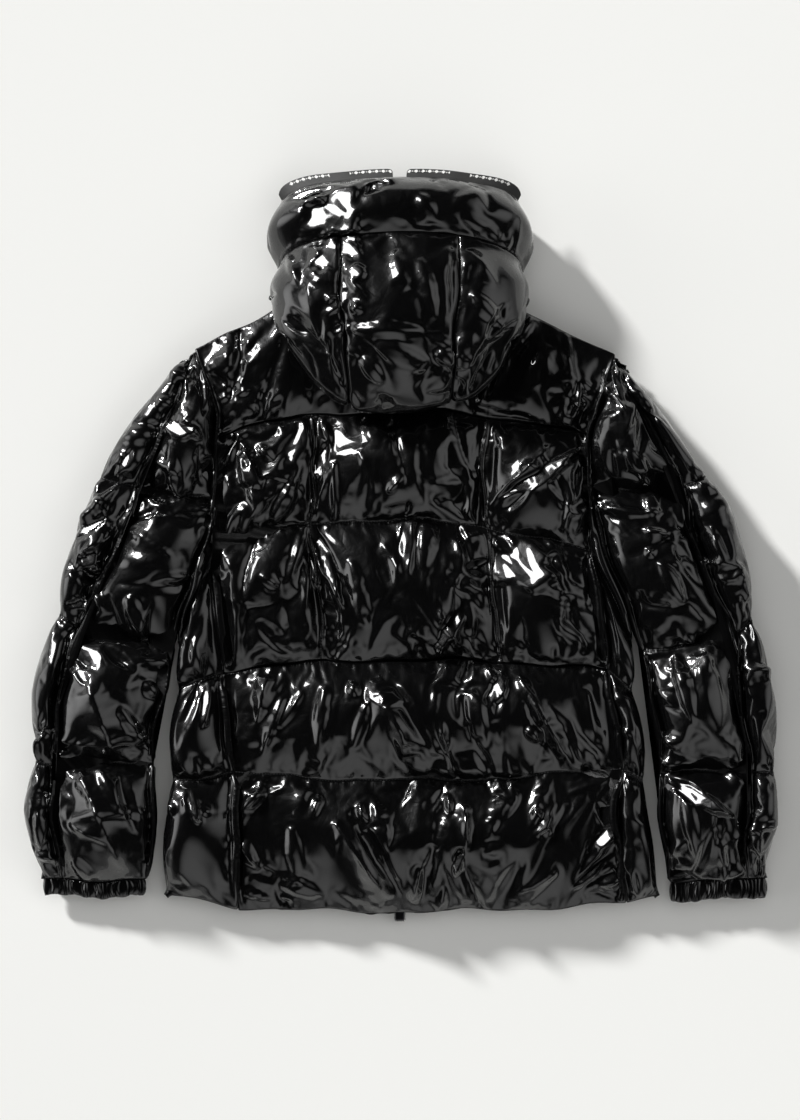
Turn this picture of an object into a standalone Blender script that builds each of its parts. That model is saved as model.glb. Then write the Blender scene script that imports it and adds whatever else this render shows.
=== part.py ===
"""Hooded puffer jacket, laid flat with its back up.

The jacket lies face down on the plane z = 0: +X is the wearer's right-hand side seen from
behind, +Y points from the hem to the hood, +Z is up. Each padded wall has a plain inside
and an outside that rises between its quilting lines. The back lies on the front, with a
thin flat hollow between them, and the hood is a hollow dome that is open underneath.

Tables and sizes are in millimetres. MM turns them into metres where a mesh is made.
"""
import math

import bmesh
import bpy
import numpy as np
from mathutils import Matrix, Vector

MM = 0.001

# ------------------------------------------------------------------ driving dimensions
SEAM_GAP = 0.36          # between pieces that are sewn together
ARMHOLE_EASE = 0.5       # what a sleeve stands off more, where the seam is strongly curved
HOLLOW = 1.0             # flat space between the back wall and the front wall
MID_HEIGHT = 33.0        # height of that space above the floor
HEM_MID_HEIGHT = 16.0    # and at the hem and the cuffs, where the jacket thins out
SETTLE_FROM = -290.0     # y where it starts to thin out
SETTLE_TO = -425.0       # y where it is thinnest
EDGE_WALL = 5.0          # wall thickness right at an outer edge
BACK_SEAM_WALL = 4.5     # what a back wall gains at its quilting lines, away from an edge
BACK_PUFF = 31.0         # what it gains between them
FRONT_SEAM_WALL = 15.0
FRONT_PUFF = 24.0
EDGE_ROLL = 36.0         # width over which a wall rounds off towards an outer edge
EDGE_ROLL_POWER = 2.3
WRAP_WALL = 12.0         # wall thickness of a panel that turns round a side
QUILT_NOTCH = 7.0        # how far a quilting line draws an outer edge in
PUFF_POWER = 0.55        # below 1, a puff rises steeply from its seam
ROLL_COLUMNS = 4         # grid columns in a rounded edge
FLAT_ANGLE = math.radians(0.7)   # faces flatter than this are one face

HOOD_SEAM_GAP = 1.1      # the hood's seams are the most strongly curved
HOOD_CLEARANCE = 0.3     # hood above the yoke that it lies on
HOOD_FLOOR = 3.0         # least thickness of the hood's wall where it lies on something
YOKE_HEIGHT_UNDER_HOOD = 54.0
YOKE_EASE = 24.0         # how far the yoke rises again just outside the hood
PRESSED_CENTRE_Y = 268.0         # the pressed part of the yoke is an ellipse
PRESSED_HALF_SIZE = (150.0, 108.0)
PRESSED_FROM, PRESSED_TO = 0.97, 1.27   # its rim, as shares of that ellipse
ZIP_HALF_WIDTH = 9.0


class Seam:
    """A line down the flat jacket, read as x at a height y through a few smooth points."""

    def __init__(self, *points):
        ordered = sorted(points, key=lambda point: point[1])
        self.x_values = np.array([point[0] for point in ordered], float)
        self.y_values = np.array([point[1] for point in ordered], float)
        self.slopes = np.gradient(self.x_values, self.y_values)

    def x(self, y):
        y = min(max(y, self.y_values[0]), self.y_values[-1])
        k = min(int(np.searchsorted(self.y_values, y, side="right")) - 1, len(self.y_values) - 2)
        span = self.y_values[k + 1] - self.y_values[k]
        t = (y - self.y_values[k]) / span
        rise = self.x_values[k] * (1 + 2 * t) * (1 - t) ** 2 + self.x_values[k + 1] * t * t * (3 - 2 * t)
        lean = self.slopes[k] * t * (1 - t) ** 2 - self.slopes[k + 1] * t * t * (1 - t)
        return rise + span * lean

    def point(self, y):
        return np.array([self.x(y), y])


class JoinedSeam(Seam):
    """Two lines that run on from each other, the first one below the second.

    ease moves the upper one sideways.
    """

    def __init__(self, lower, upper, ease=0.0):
        self.lower, self.upper, self.ease = lower, upper, ease

    def x(self, y):
        if y < self.lower.y_values[-1]:
            return self.lower.x(y)
        return self.upper.x(y) + self.ease


# ------------------------------------------------- the cut lines, as points of (x, y)
SLEEVE_OUTER = {
    "left": Seam((-254, 219), (-288, 181), (-337, 111), (-366, 66), (-390, -6), (-409, -78),
                 (-428, -147), (-437, -243), (-441, -320), (-426, -394)),
    "right": Seam((258, 210), (285, 181), (336, 111), (370, 66), (399, -6), (415, -85),
                  (432, -147), (439, -241), (440, -310), (428, -394)),
}
ARMHOLE = {
    "left": Seam((-243, 229), (-224, 180), (-216, 122), (-219, 64), (-232, -1), (-253, -70),
                 (-266, -103)),
    "right": Seam((247, 220), (231, 170), (218, 115), (216, 68), (228, 25), (248, -35),
                  (269, -96)),
}
SLEEVE_INNER = {
    "left": Seam((-266.5, -103), (-279, -170), (-290, -225), (-294, -302), (-292, -365), (-300, -394)),
    "right": Seam((269.5, -96), (286, -140), (297, -205), (302, -285), (308, -350), (313, -394)),
}
SLEEVE_SEAM = {
    "left": Seam((-247, 212), (-283, 130), (-308, 64), (-335, 0), (-366, -69), (-384, -100),
                 (-398, -170), (-410, -255), (-407, -336), (-400, -394)),
    "right": Seam((250, 202), (296, 130), (326, 66), (340, 10), (363, -46), (387, -102),
                  (394, -170), (405, -250), (404, -330), (404, -394)),
}
BODY_SIDE = {
    "left": Seam((-265, -103), (-270, -190), (-277, -278), (-280, -358), (-281, -412)),
    "right": Seam((268, -96), (277, -174), (285, -250), (290, -319), (302, -412)),
}
BACK_SEAM = {
    "left": Seam((-219, 64), (-222, 4), (-214, -90), (-211, -148), (-205, -230), (-195, -320),
                 (-196, -427)),
    "right": Seam((216, 68), (221, 5), (228, -40), (236, -110), (245, -165), (256, -250), (252, -320),
                  (262, -422)),
}
FRONT_SEAM = {
    "left": Seam((-219, 64), (-230, -60), (-228, -200), (-222, -300), (-224, -424)),
    "right": Seam((216, 68), (232, -60), (240, -200), (242, -300), (246, -422)),
}
ZIP_EDGE = {
    "left": Seam((-ZIP_HALF_WIDTH, 268), (-ZIP_HALF_WIDTH, 0), (-ZIP_HALF_WIDTH, -434)),
    "right": Seam((ZIP_HALF_WIDTH, 268), (ZIP_HALF_WIDTH, 0), (ZIP_HALF_WIDTH, -434)),
}
SHOULDER_POINT = {"left": (-243, 229), "right": (247, 220)}
NECK_POINT = {"left": (-96, 303), "right": (96, 301)}
BACK_NECK_Y = 292.0      # back of the neckline, on the middle line
FRONT_NECK_Y = 262.0     # front of the neckline, at the zip

# Quilting lines across the back: y at the left seam, y at the right seam, rise in the middle
BACK_LINES = {
    "hem": (-427, -422, -7),
    "lower": (-267, -262, -11),
    "waist": (-148, -148, 13),
    "chest": (4, -9, 31),
    "yoke": (129, 127, 28),
}
COLUMN_SEAMS = (0.26, 0.72)          # of the width, in the two middle rows of the back
# Quilting lines round a side panel: y at the back seam, y at the side, y at the front seam
SIDE_LINES = {
    "left": {"hem": (-427, -412, -424), "lower": (-267, -276, -270), "waist": (-148, -172, -150),
             "chest": (4, -128, -45), "armhole": (64, -103, 64)},
    "right": {"hem": (-422, -412, -422), "lower": (-262, -276, -270), "waist": (-148, -172, -150),
              "chest": (-9, -122, -45), "armhole": (68, -96, 68)},
}
# Quilting lines across a front: y at the side, y at the zip
FRONT_LINES = {
    "left": {"hem": (-424, -434), "lower": (-270, -275), "waist": (-150, -145), "bust": (-45, -30),
             "armhole": (64, 76), "upper": (145, 165)},
    "right": {"hem": (-422, -434), "lower": (-270, -275), "waist": (-150, -145), "bust": (-45, -30),
              "armhole": (68, 76), "upper": (145, 165)},
}
# Quilting lines round a sleeve: y at the long seam, at the outer edge, at the inner edge
SLEEVE_LINES = {
    "left": {"cuff": (-394, -394, -394), "forearm": (-255, -254, -258), "elbow": (-96, -80, -120),
             "upper": (64, 79, 56), "head": (212, 219, 207)},
    "right": {"cuff": (-394, -394, -394), "forearm": (-266, -264, -267), "elbow": (-104, -88, -126),
              "upper": (66, 80, 67), "head": (202, 210, 196)},
}
# Large folds on the back: start x, y, end x, y, half width, height (below 0 is a trough)
FOLDS = (
    (-116, 62, -106, -4, 15, -6),
    (-106, -10, -76, -62, 14, 6),
    (-15, 72, 8, 40, 14, 6),
    (98, 50, 178, 115, 18, -6),
    (190, 118, 188, 10, 16, 6),
    (-34, -150, 20, -262, 18, 7),
    (138, -152, 205, -268, 18, 6),
    (-155, -152, -170, -210, 15, 6),
    (-120, -160, -142, -215, 15, -5),
    (48, -75, 70, -128, 18, 6),
    (-78, -320, -10, -420, 18, 6),
    (72, -298, 66, -385, 15, 6),
    (250, -332, 215, -400, 18, -6),
    (-190, -345, -160, -400, 18, 6),
    (-330, 60, -372, 10, 15, -5),
    (-360, -130, -350, -225, 18, 6),
    (-270, 190, -225, 120, 16, 6),
    (330, -130, 345, -230, 18, 6),
    (285, 150, 262, 60, 16, 6),
    (120, -340, 190, -390, 18, 6),
)

# Hood sections from its edge, over the crown, to the neck. y_top and z_top are on the
# middle line, y_side and z_side where the section is widest, tuck is how far round it goes
# (90 is the widest place), puff is how far the padding rises and wall how thick it is.
HOOD_SECTIONS = (
    # name, y_top, y_side, half_width, z_side, z_top, tuck, puff, wall
    ("edge", 427, 390, 139, 34, 70, 112, 2, 9),
    ("brim", 398, 352, 141, 38, 92, 114, 18, 9),
    ("brim_seam", 362, 316, 141, 42, 103, 116, 0, 9),
    ("crown", 315, 300, 137, 46, 112, 114, 18, 9),
    ("back", 262, 287, 131, 54, 112, 98, 24, 9),
    ("nape", 208, 276, 126, 66, 103, 90, 24, 7),
    ("bulge", 166, 264, 119, 78, 86, 90, 13, 6),
    ("turn", 168, 268, 110, 65, 68, 90, 7, 5),
    ("under", 200, 281, 96, 55.5, 55.5, 90, 0, 5),
    ("neck", 284, 297, 88, 54.3, 54.3, 90, 0, 5),
)
HOOD_X = -3.0            # the hood lies a little to one side
HOOD_LIES_TO_Y = 296.0   # it lies on the yoke below this y, and on the floor above it
HOOD_SEAM_ANGLE = 27.0   # degrees from the middle line to the seams of the centre strip
BRIM_SEAM_GAP = 0.0022   # half the gap at the brim's seam, as a share of the way to the neck
HOOD_ROWS = (2, 2, 2, 4, 4, 4, 2)   # grid rows from one section to the next, from the brim seam
HOOD_SIDE_COLUMNS = 10
HOOD_CENTRE_COLUMNS = 6
TAPE_WIDTH = 13.0
TAPE_DROP = 9.0          # how much lower its free edge lies, in the middle
TAPE_DEPTH = 3.5         # its upper side, below the hood's outer surface
TAPE_THICKNESS = 1.6
TAPE_GAP = 0.85          # to the hood's edge that it is sewn to
TAPE_FLARE = 0.05        # how far it spreads sideways
TAPE_START = 0.022       # shares of the way round the hood's edge
TAPE_END = 0.77

# Cuffs: centre x, half width, y at the sleeve, y at the open end
CUFFS = {
    "left": (-363.0, 62.0, -394.8, -413.0),
    "right": (370.5, 57.5, -394.8, -417.0),
}
CUFF_GATHERS = 40
CUFF_HALF_HEIGHT = 8.5
CUFF_HOLLOW_HALF_HEIGHT = 1.5
CUFF_SQUARENESS = 2.6    # 2 is an ellipse
CUFF_WALL = 7.0
GATHER_DEPTH = 1.6
# Cuff profile from the sleeve to the open end: share of its length, swell
CUFF_PROFILE = ((0.0, -2.0), (0.3, 0.3), (0.75, 0.3), (1.0, -1.6))

ZIP_TAPE_THICKNESS = 2.4
ZIP_TAPE_END_Y = -431.0
CHAIN_HALF_WIDTH = 3.2   # the bead of closed teeth along the tape
CHAIN_HEIGHT = 0.9
SLIDER_Y = 236.0
SLIDER_SIZE = (10.0, 14.0, 5.0)
SLIDER_GAP = 0.3         # to the bead, and from a lug to the tab
PULL_SIZE = (7.0, 27.0, 2.0)
PULL_GAP = 0.4           # from the slider to the tab that lies along it
LUG_SIZE = (1.2, 5.0, 4.4)
LUG_RISE = 0.8           # its centre above the hinge line
ZIP_BOX_SIZE = (11.0, 10.0, 5.0)
ZIP_BOX_Y = -437.5
ZIP_BOX_X = -3.2


# ------------------------------------------------------------------ heights of the walls
def smoothstep(value):
    value = min(max(value, 0.0), 1.0)
    return value * value * (3 - 2 * value)


def mid_height(y):
    settle = smoothstep((SETTLE_FROM - y) / (SETTLE_FROM - SETTLE_TO))
    return MID_HEIGHT + (HEM_MID_HEIGHT - MID_HEIGHT) * settle


def shoulder_line(side, t):
    """The shoulder from the armhole (t = 0) to the neck (t = 1)."""
    start, end = np.array(SHOULDER_POINT[side], float), np.array(NECK_POINT[side], float)
    return start + (end - start) * t


def hem_point(u, left_end, right_end, dip):
    point = left_end + (right_end - left_end) * u
    return point + np.array([0.0, dip * 4 * u * (1 - u)])


def trace_outline():
    """Points every few millimetres along the outer edges of the flat jacket."""
    points = []
    for side in ("left", "right"):
        for seam in (SLEEVE_OUTER[side], SLEEVE_INNER[side], BODY_SIDE[side]):
            points += [seam.point(y) for y in np.arange(seam.y_values[0], seam.y_values[-1], 4.0)]
        points += [shoulder_line(side, t) for t in np.linspace(0, 1, 40)]
        points += [np.array([x, -394.0]) for x in np.linspace(SLEEVE_OUTER[side].x(-394),
                                                              SLEEVE_INNER[side].x(-394), 30)]
    neck_left, neck_right = np.array(NECK_POINT["left"]), np.array(NECK_POINT["right"])
    dip = BACK_NECK_Y - (neck_left[1] + neck_right[1]) / 2
    points += [hem_point(u, neck_left, neck_right, dip) for u in np.linspace(0, 1, 40)]
    back_left, back_right = BACK_SEAM["left"].point(-427), BACK_SEAM["right"].point(-422)
    points += [hem_point(u, back_left, back_right, BACK_LINES["hem"][2]) for u in np.linspace(0, 1, 90)]
    for side, back_end in (("left", back_left), ("right", back_right)):
        points += [hem_point(u, back_end, BODY_SIDE[side].point(-412), 0) for u in np.linspace(0, 1, 20)]
    return np.array(points)


OUTLINE_POINTS = trace_outline()


def edge_roll(x, y):
    """0 at an outer edge of the jacket, rising along a rounded profile to 1 inside it."""
    distance = np.sqrt(((OUTLINE_POINTS - (x, y)) ** 2).sum(axis=1).min())
    inside = min(distance / EDGE_ROLL, 1.0)
    return (1 - (1 - inside) ** EDGE_ROLL_POWER) ** (1 / EDGE_ROLL_POWER)


def fold_height(x, y):
    total = 0.0
    for x0, y0, x1, y1, half_width, height in FOLDS:
        along = ((x - x0) * (x1 - x0) + (y - y0) * (y1 - y0)) / ((x1 - x0) ** 2 + (y1 - y0) ** 2)
        nearest = min(max(along, 0.0), 1.0)
        away = math.hypot(x - x0 - nearest * (x1 - x0), y - y0 - nearest * (y1 - y0))
        total += height * math.exp(-(away / half_width) ** 2) * math.sin(math.pi * (0.15 + 0.7 * nearest))
    return total


def yoke_ceiling(x, y):
    """The yoke is pressed down where the hood lies on it."""
    reach = math.hypot((x - HOOD_X) / PRESSED_HALF_SIZE[0], (y - PRESSED_CENTRE_Y) / PRESSED_HALF_SIZE[1])
    if reach > PRESSED_TO:
        return math.inf
    return YOKE_HEIGHT_UNDER_HOOD + YOKE_EASE * smoothstep((reach - PRESSED_FROM) / (PRESSED_TO - PRESSED_FROM))


def back_height(x, y, puff):
    roll = edge_roll(x, y)
    rise = EDGE_WALL + roll * (BACK_SEAM_WALL + BACK_PUFF * puff + fold_height(x, y) * min(1.0, 2 * puff))
    return min(mid_height(y) + HOLLOW / 2 + rise, yoke_ceiling(x, y))


def front_height(x, y, puff):
    rise = EDGE_WALL + edge_roll(x, y) * (FRONT_SEAM_WALL + FRONT_PUFF * puff)
    return max(mid_height(y) - HOLLOW / 2 - rise, 0.0)


def inner_height(y, layer):
    return mid_height(y) + layer * HOLLOW / 2


def cell_steps(count):
    """Places across a quilted cell, closer together at its seams."""
    return [0.5 - 0.5 * math.cos(math.pi * k / count) for k in range(count + 1)]


def cell_rise(place, seams):
    """How far a puff has risen at a place between the seams on either side of it."""
    for start, end in zip(seams, seams[1:]):
        if start <= place <= end:
            return max(math.sin(math.pi * (place - start) / (end - start)), 0.0) ** PUFF_POWER
    return 0.0


# ------------------------------------------------------------------ from grids to solids
def new_material(name, colour, roughness, metallic=0.0, coat=0.0):
    material = bpy.data.materials.new(name)
    material.use_nodes = True
    shader = material.node_tree.nodes["Principled BSDF"]
    shader.inputs["Base Color"].default_value = (*colour, 1.0)
    shader.inputs["Roughness"].default_value = roughness
    shader.inputs["Metallic"].default_value = metallic
    shader.inputs["Coat Weight"].default_value = coat
    return material


def add_object(name, bm, material):
    mesh = bpy.data.meshes.new(name)
    bm.to_mesh(mesh)
    bm.free()
    mesh.materials.append(material)
    mesh.shade_smooth()
    mesh.set_sharp_from_angle(angle=math.radians(50))
    piece = bpy.data.objects.new(name, mesh)
    jacket.objects.link(piece)
    return piece


def wall_from_grids(name, outer, inner, material, closed=False):
    """A sheet is extruded once, and its two sides are moved to the outer and inner points.

    Both grids are lists of rows of (x, y, z). A closed sheet goes round and meets itself.
    """
    last_row, columns = len(outer) - 1, len(outer[0])
    last_column = columns if closed else columns - 1
    bm = bmesh.new()
    bmesh.ops.create_grid(bm, x_segments=last_column, y_segments=last_row, size=1.0)
    bmesh.ops.extrude_face_region(bm, geom=bm.faces[:], use_keep_orig=True)
    bm.verts.index_update()
    place = {vert: (round((vert.co.y + 1) / 2 * last_row), round((vert.co.x + 1) / 2 * last_column))
             for vert in bm.verts}
    sheet_size = (last_row + 1) * (last_column + 1)
    if closed:
        end_walls = [face for face in bm.faces
                     if {place[vert][1] for vert in face.verts} in ({0}, {last_column})]
        bmesh.ops.delete(bm, geom=end_walls, context="FACES_ONLY")
    for vert, (row, column) in place.items():
        grid = inner if vert.index < sheet_size else outer
        vert.co = Vector(grid[row][column % columns]) * MM
    if closed:
        bmesh.ops.remove_doubles(bm, verts=bm.verts, dist=1e-6)
    bmesh.ops.recalc_face_normals(bm, faces=bm.faces)
    if bm.calc_volume(signed=True) < 0:
        bmesh.ops.reverse_faces(bm, faces=bm.faces)
    bmesh.ops.dissolve_limit(bm, angle_limit=FLAT_ANGLE, verts=bm.verts, edges=bm.edges)
    return add_object(name, bm, material)


# ------------------------------------------------------------------ panels of the flat jacket
def line_between(start, end, rise=0.0):
    start, end = np.array(start, float), np.array(end, float)
    return lambda u: start + (end - start) * u + np.array([0.0, rise * 4 * u * (1 - u)])


def along_seam(seam, y_start, y_end):
    return lambda u: seam.point(y_start + (y_end - y_start) * u)


def coons_point(left, right, bottom, top, u, v):
    """A point of the patch between four boundary lines, each a function of 0 to 1."""
    ruled = (1 - u) * left(v) + u * right(v) + (1 - v) * bottom(u) + v * top(u)
    corners = ((1 - u) * ((1 - v) * bottom(0) + v * top(0)) + u * ((1 - v) * bottom(1) + v * top(1)))
    return ruled - corners


def seam_inset(place, width, gap=SEAM_GAP):
    """Keeps a boundary half a seam gap inside its line."""
    margin = gap / 2 / max(width, 1.0)
    return margin + place * (1 - 2 * margin)


def patch_rows(row_counts):
    """Rows of a panel: the cell each row is in, its place in the cell, and its rise."""
    rows = []
    for cell, count in enumerate(row_counts):
        steps = cell_steps(count)
        rows += [(cell, step) for step in (steps if cell == len(row_counts) - 1 else steps[:-1])]
    return rows


def flat_panel(name, layer, left, right, lines, row_counts, columns, column_seams, material):
    """A panel of the back (layer 1) or of the front (layer -1), with no turned edge.

    left and right give y at each line, with the seam to follow; lines gives each quilting
    line as a function of 0 to 1 across the panel.
    """
    height = back_height if layer > 0 else front_height
    seams = (0.0, *column_seams, 1.0)
    places = []
    for k, (start, end) in enumerate(zip(seams, seams[1:])):
        steps = [start + (end - start) * step for step in cell_steps(columns[k])]
        places += steps if k == len(seams) - 2 else steps[:-1]
    outer, inner = [], []
    last_cell = len(row_counts) - 1
    for cell, step in patch_rows(row_counts):
        low, high = lines[cell], lines[cell + 1]
        side_left = along_seam(left[0], left[1][cell], left[1][cell + 1])
        side_right = along_seam(right[0], right[1][cell], right[1][cell + 1])
        span = abs(left[1][cell + 1] - left[1][cell])
        v = step
        if cell == 0 and step == 0:
            v = SEAM_GAP / 2 / span
        if cell == last_cell and step == 1:
            v = 1 - SEAM_GAP / 2 / span
        width = np.linalg.norm(side_right(v) - side_left(v))
        outer_row, inner_row = [], []
        for place in places:
            x, y = coons_point(side_left, side_right, low, high, seam_inset(place, width), v)
            puff = cell_rise(place, seams) * cell_rise(step, (0.0, 1.0))
            outer_row.append((x, y, height(x, y, puff)))
            inner_row.append((x, y, inner_height(y, layer)))
        outer.append(outer_row)
        inner.append(inner_row)
    return wall_from_grids(name, outer, inner, material)


def turned_places(width, flat_columns):
    """Places from a seam (0) to an outer edge (1), close together where the wall rounds off."""
    roll = min(EDGE_ROLL, 0.6 * width)
    rounded = [1 - roll / width * (1 - math.sin(math.pi / 2 * k / ROLL_COLUMNS))
               for k in range(ROLL_COLUMNS + 1)]
    flat = [rounded[0] * k / flat_columns for k in range(flat_columns)]
    return flat + rounded


def turned_panel(name, back_seam, edge, front_seam, lines, row_counts, flat_columns, top_lines, material):
    """A panel that starts on the back, turns round an outer edge and ends on the front.

    lines has y at the back seam, at the edge and at the front seam for each quilting line,
    and top_lines the two halves of its last line.
    """
    outer, inner = [], []
    last_cell = len(row_counts) - 1
    for cell, step in patch_rows(row_counts):
        low, high = lines[cell], lines[cell + 1]
        v = step
        if cell == 0 and step == 0:
            v = SEAM_GAP / 2 / abs(high[0] - low[0])
        if cell == last_cell and step == 1:
            v = 1 - SEAM_GAP / 2 / abs(high[1] - low[1])
        halves = []
        for layer, seam, index in ((1, back_seam, 0), (-1, front_seam, 2)):
            side_seam = along_seam(seam, low[index], high[index])
            side_edge = along_seam(edge, low[1], high[1])
            bottom = line_between(seam.point(low[index]), edge.point(low[1]))
            top = line_between(seam.point(high[index]), edge.point(high[1]))
            if cell == last_cell and top_lines:
                top = top_lines[0 if layer > 0 else 1]
            halves.append((layer, side_seam, side_edge, bottom, top))
        quilt = cell_rise(step, (0.0, 1.0))
        outer_row, inner_row = [], []
        for layer, side_seam, side_edge, bottom, top in halves:
            width = np.linalg.norm(side_edge(v) - side_seam(v))
            notch = QUILT_NOTCH * (1 - quilt) / width if 0 < step + cell < last_cell + 1 else 0.0
            half_outer, half_inner = [], []
            for place in turned_places(width, flat_columns[0 if layer > 0 else 1]):
                u = SEAM_GAP / 2 / width * (1 - place) + place
                roll = (1 - (1 - min((1 - place) * width / EDGE_ROLL, 1)) ** 2) ** 0.5
                u_outer = u - notch * (1 - roll) * place
                u_inner = u - min(WRAP_WALL / width, 0.35) * (1 - roll) * place
                x, y = coons_point(side_seam, side_edge, bottom, top, u_outer, v)
                rise = max(math.sin(math.pi * (0.5 * place)), 0.0) ** PUFF_POWER
                height = back_height if layer > 0 else front_height
                half_outer.append((x, y, height(x, y, rise * quilt)))
                x, y = coons_point(side_seam, side_edge, bottom, top, u_inner, v)
                half_inner.append((x, y, inner_height(y, layer)))
            if layer < 0:
                half_outer.reverse()
                half_inner.reverse()
            outer_row += half_outer
            inner_row += half_inner
        outer.append(outer_row)
        inner.append(inner_row)
    return wall_from_grids(name, outer, inner, material)


def make_back(material):
    left = JoinedSeam(BACK_SEAM["left"], ARMHOLE["left"])
    right = JoinedSeam(BACK_SEAM["right"], ARMHOLE["right"])
    quilting = {name: line_between(left.point(y_left), right.point(y_right), rise)
                for name, (y_left, y_right, rise) in BACK_LINES.items()}

    def shoulders(u):
        """Up one shoulder, along the back of the neck and down the other shoulder."""
        neck_left, neck_right = 0.30, 0.70
        if u < neck_left:
            return shoulder_line("left", u / neck_left)
        if u > neck_right:
            return shoulder_line("right", (1 - u) / (1 - neck_right))
        ends = [np.array(NECK_POINT[side], float) for side in ("left", "right")]
        dip = BACK_NECK_Y - (ends[0][1] + ends[1][1]) / 2
        return hem_point((u - neck_left) / (neck_right - neck_left), *ends, dip)

    def ends(*names):
        return ([BACK_LINES[name][0] for name in names], [BACK_LINES[name][1] for name in names])

    left_ends, right_ends = ends("hem", "lower", "waist")
    flat_panel("back_lower", 1, (left, left_ends), (right, right_ends),
               [quilting[name] for name in ("hem", "lower", "waist")], (8, 7), (22,), (), material)
    left_ends, right_ends = ends("waist", "chest", "yoke")
    flat_panel("back_middle", 1, (left, left_ends), (right, right_ends),
               [quilting[name] for name in ("waist", "chest", "yoke")], (7, 7), (7, 10, 7),
               COLUMN_SEAMS, material)
    flat_panel("back_yoke", 1, (left, [129, 229]), (right, [127, 220]),
               [quilting["yoke"], shoulders], (7,), (22,), (), material)


def make_sides(material):
    for side in ("left", "right"):
        lines = list(SIDE_LINES[side].values())
        back_y, side_y, front_y = lines[-1]
        top_lines = (along_seam(ARMHOLE[side], back_y, side_y), along_seam(ARMHOLE[side], front_y, side_y))
        turned_panel(f"side_panel_{side}", BACK_SEAM[side], BODY_SIDE[side], FRONT_SEAM[side],
                     lines, (8, 7, 7, 5), (4, 4), top_lines, material)


def make_fronts(material):
    for side in ("left", "right"):
        outer_y = [line[0] for line in FRONT_LINES[side].values()] + [SHOULDER_POINT[side][1]]
        zip_y = [line[1] for line in FRONT_LINES[side].values()] + [FRONT_NECK_Y]
        outer_seam = JoinedSeam(FRONT_SEAM[side], ARMHOLE[side])
        quilting = [line_between(outer_seam.point(a), ZIP_EDGE[side].point(b))
                    for a, b in zip(outer_y, zip_y)][:-1]

        def neck(u, side=side):
            """Up the shoulder and down the front neckline to the zip."""
            shoulder_share = 0.62
            if u < shoulder_share:
                return shoulder_line(side, u / shoulder_share)
            start = np.array(NECK_POINT[side], float)
            end = ZIP_EDGE[side].point(FRONT_NECK_Y)
            return start + (end - start) * (u - shoulder_share) / (1 - shoulder_share)

        flat_panel(f"front_{side}", -1, (outer_seam, outer_y), (ZIP_EDGE[side], zip_y),
                   quilting + [neck], (5, 5, 4, 4, 4, 5), (9,), (), material)


def make_sleeves(material):
    for side in ("left", "right"):
        lines = list(SLEEVE_LINES[side].values())
        ease = ARMHOLE_EASE if side == "right" else -ARMHOLE_EASE
        inner = JoinedSeam(SLEEVE_INNER[side], ARMHOLE[side], ease)
        turned_panel(f"sleeve_{side}_front", SLEEVE_SEAM[side], SLEEVE_OUTER[side], inner,
                     lines, (7, 7, 8, 7), (2, 4), None, material)
        quilting = [line_between(SLEEVE_SEAM[side].point(seam_y), inner.point(inner_y))
                    for seam_y, _, inner_y in lines]
        flat_panel(f"sleeve_{side}_back", 1, (SLEEVE_SEAM[side], [line[0] for line in lines]),
                   (inner, [line[2] for line in lines]), quilting, (7, 7, 8, 7), (8,), (), material)


# ------------------------------------------------------------------ hood
def hood_section(place):
    """The hood's section at a place from 0 (its edge) to 1 (the neck), smoothly read."""
    values = np.array([section[1:] for section in HOOD_SECTIONS], float)
    positions = np.arange(len(values))
    slopes = np.gradient(values, axis=0)
    where = min(max(place, 0.0), 1.0) * (len(values) - 1)
    k = min(int(where), len(values) - 2)
    t = where - positions[k]
    return (values[k] * (1 + 2 * t) * (1 - t) ** 2 + values[k + 1] * t * t * (3 - 2 * t)
            + slopes[k] * t * (1 - t) ** 2 - slopes[k + 1] * t * t * (1 - t))


def hood_base(place, turn):
    """A point of the hood's seam-level surface; turn is -1 to 1 across the section."""
    y_top, y_side, half_width, z_side, z_top, tuck, _, _ = hood_section(place)
    angle = math.radians(turn * tuck)
    across, up = math.sin(angle), math.cos(angle)
    x = half_width * math.copysign(abs(across) ** 0.92, across)
    y = y_top + (y_side - y_top) * (1 - up ** 0.68 if up > 0 else 1)
    z = z_side + (z_top - z_side) * up ** 0.85 if up > 0 else z_side * (1 + 2.3 * up)
    return np.array([HOOD_X + x, y, z])


def hood_normal(place, turn):
    step = 0.01
    along = hood_base(min(place + step, 1), turn) - hood_base(max(place - step, 0), turn)
    across = hood_base(place, min(turn + step, 1)) - hood_base(place, max(turn - step, -1))
    normal = np.cross(along, across)
    return normal / max(np.linalg.norm(normal), 1e-6)


def seam_turn(place):
    """Where the seams of the centre strip lie at a place along the hood."""
    return HOOD_SEAM_ANGLE / hood_section(place)[5]


def hood_columns(place, turns):
    """Each grid column's turn across (start, end, columns) pieces: inset at the seams, and as cut."""
    columns = []
    for number, (turn_start, turn_end, count) in enumerate(turns):
        start, end = turn_start(place), turn_end(place)
        length = np.linalg.norm(hood_base(place, end) - hood_base(place, start))
        steps = cell_steps(count)
        for share in steps if number == len(turns) - 1 else steps[:-1]:
            columns.append((start + (end - start) * seam_inset(share, length, HOOD_SEAM_GAP),
                            start + (end - start) * share))
    return columns


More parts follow.
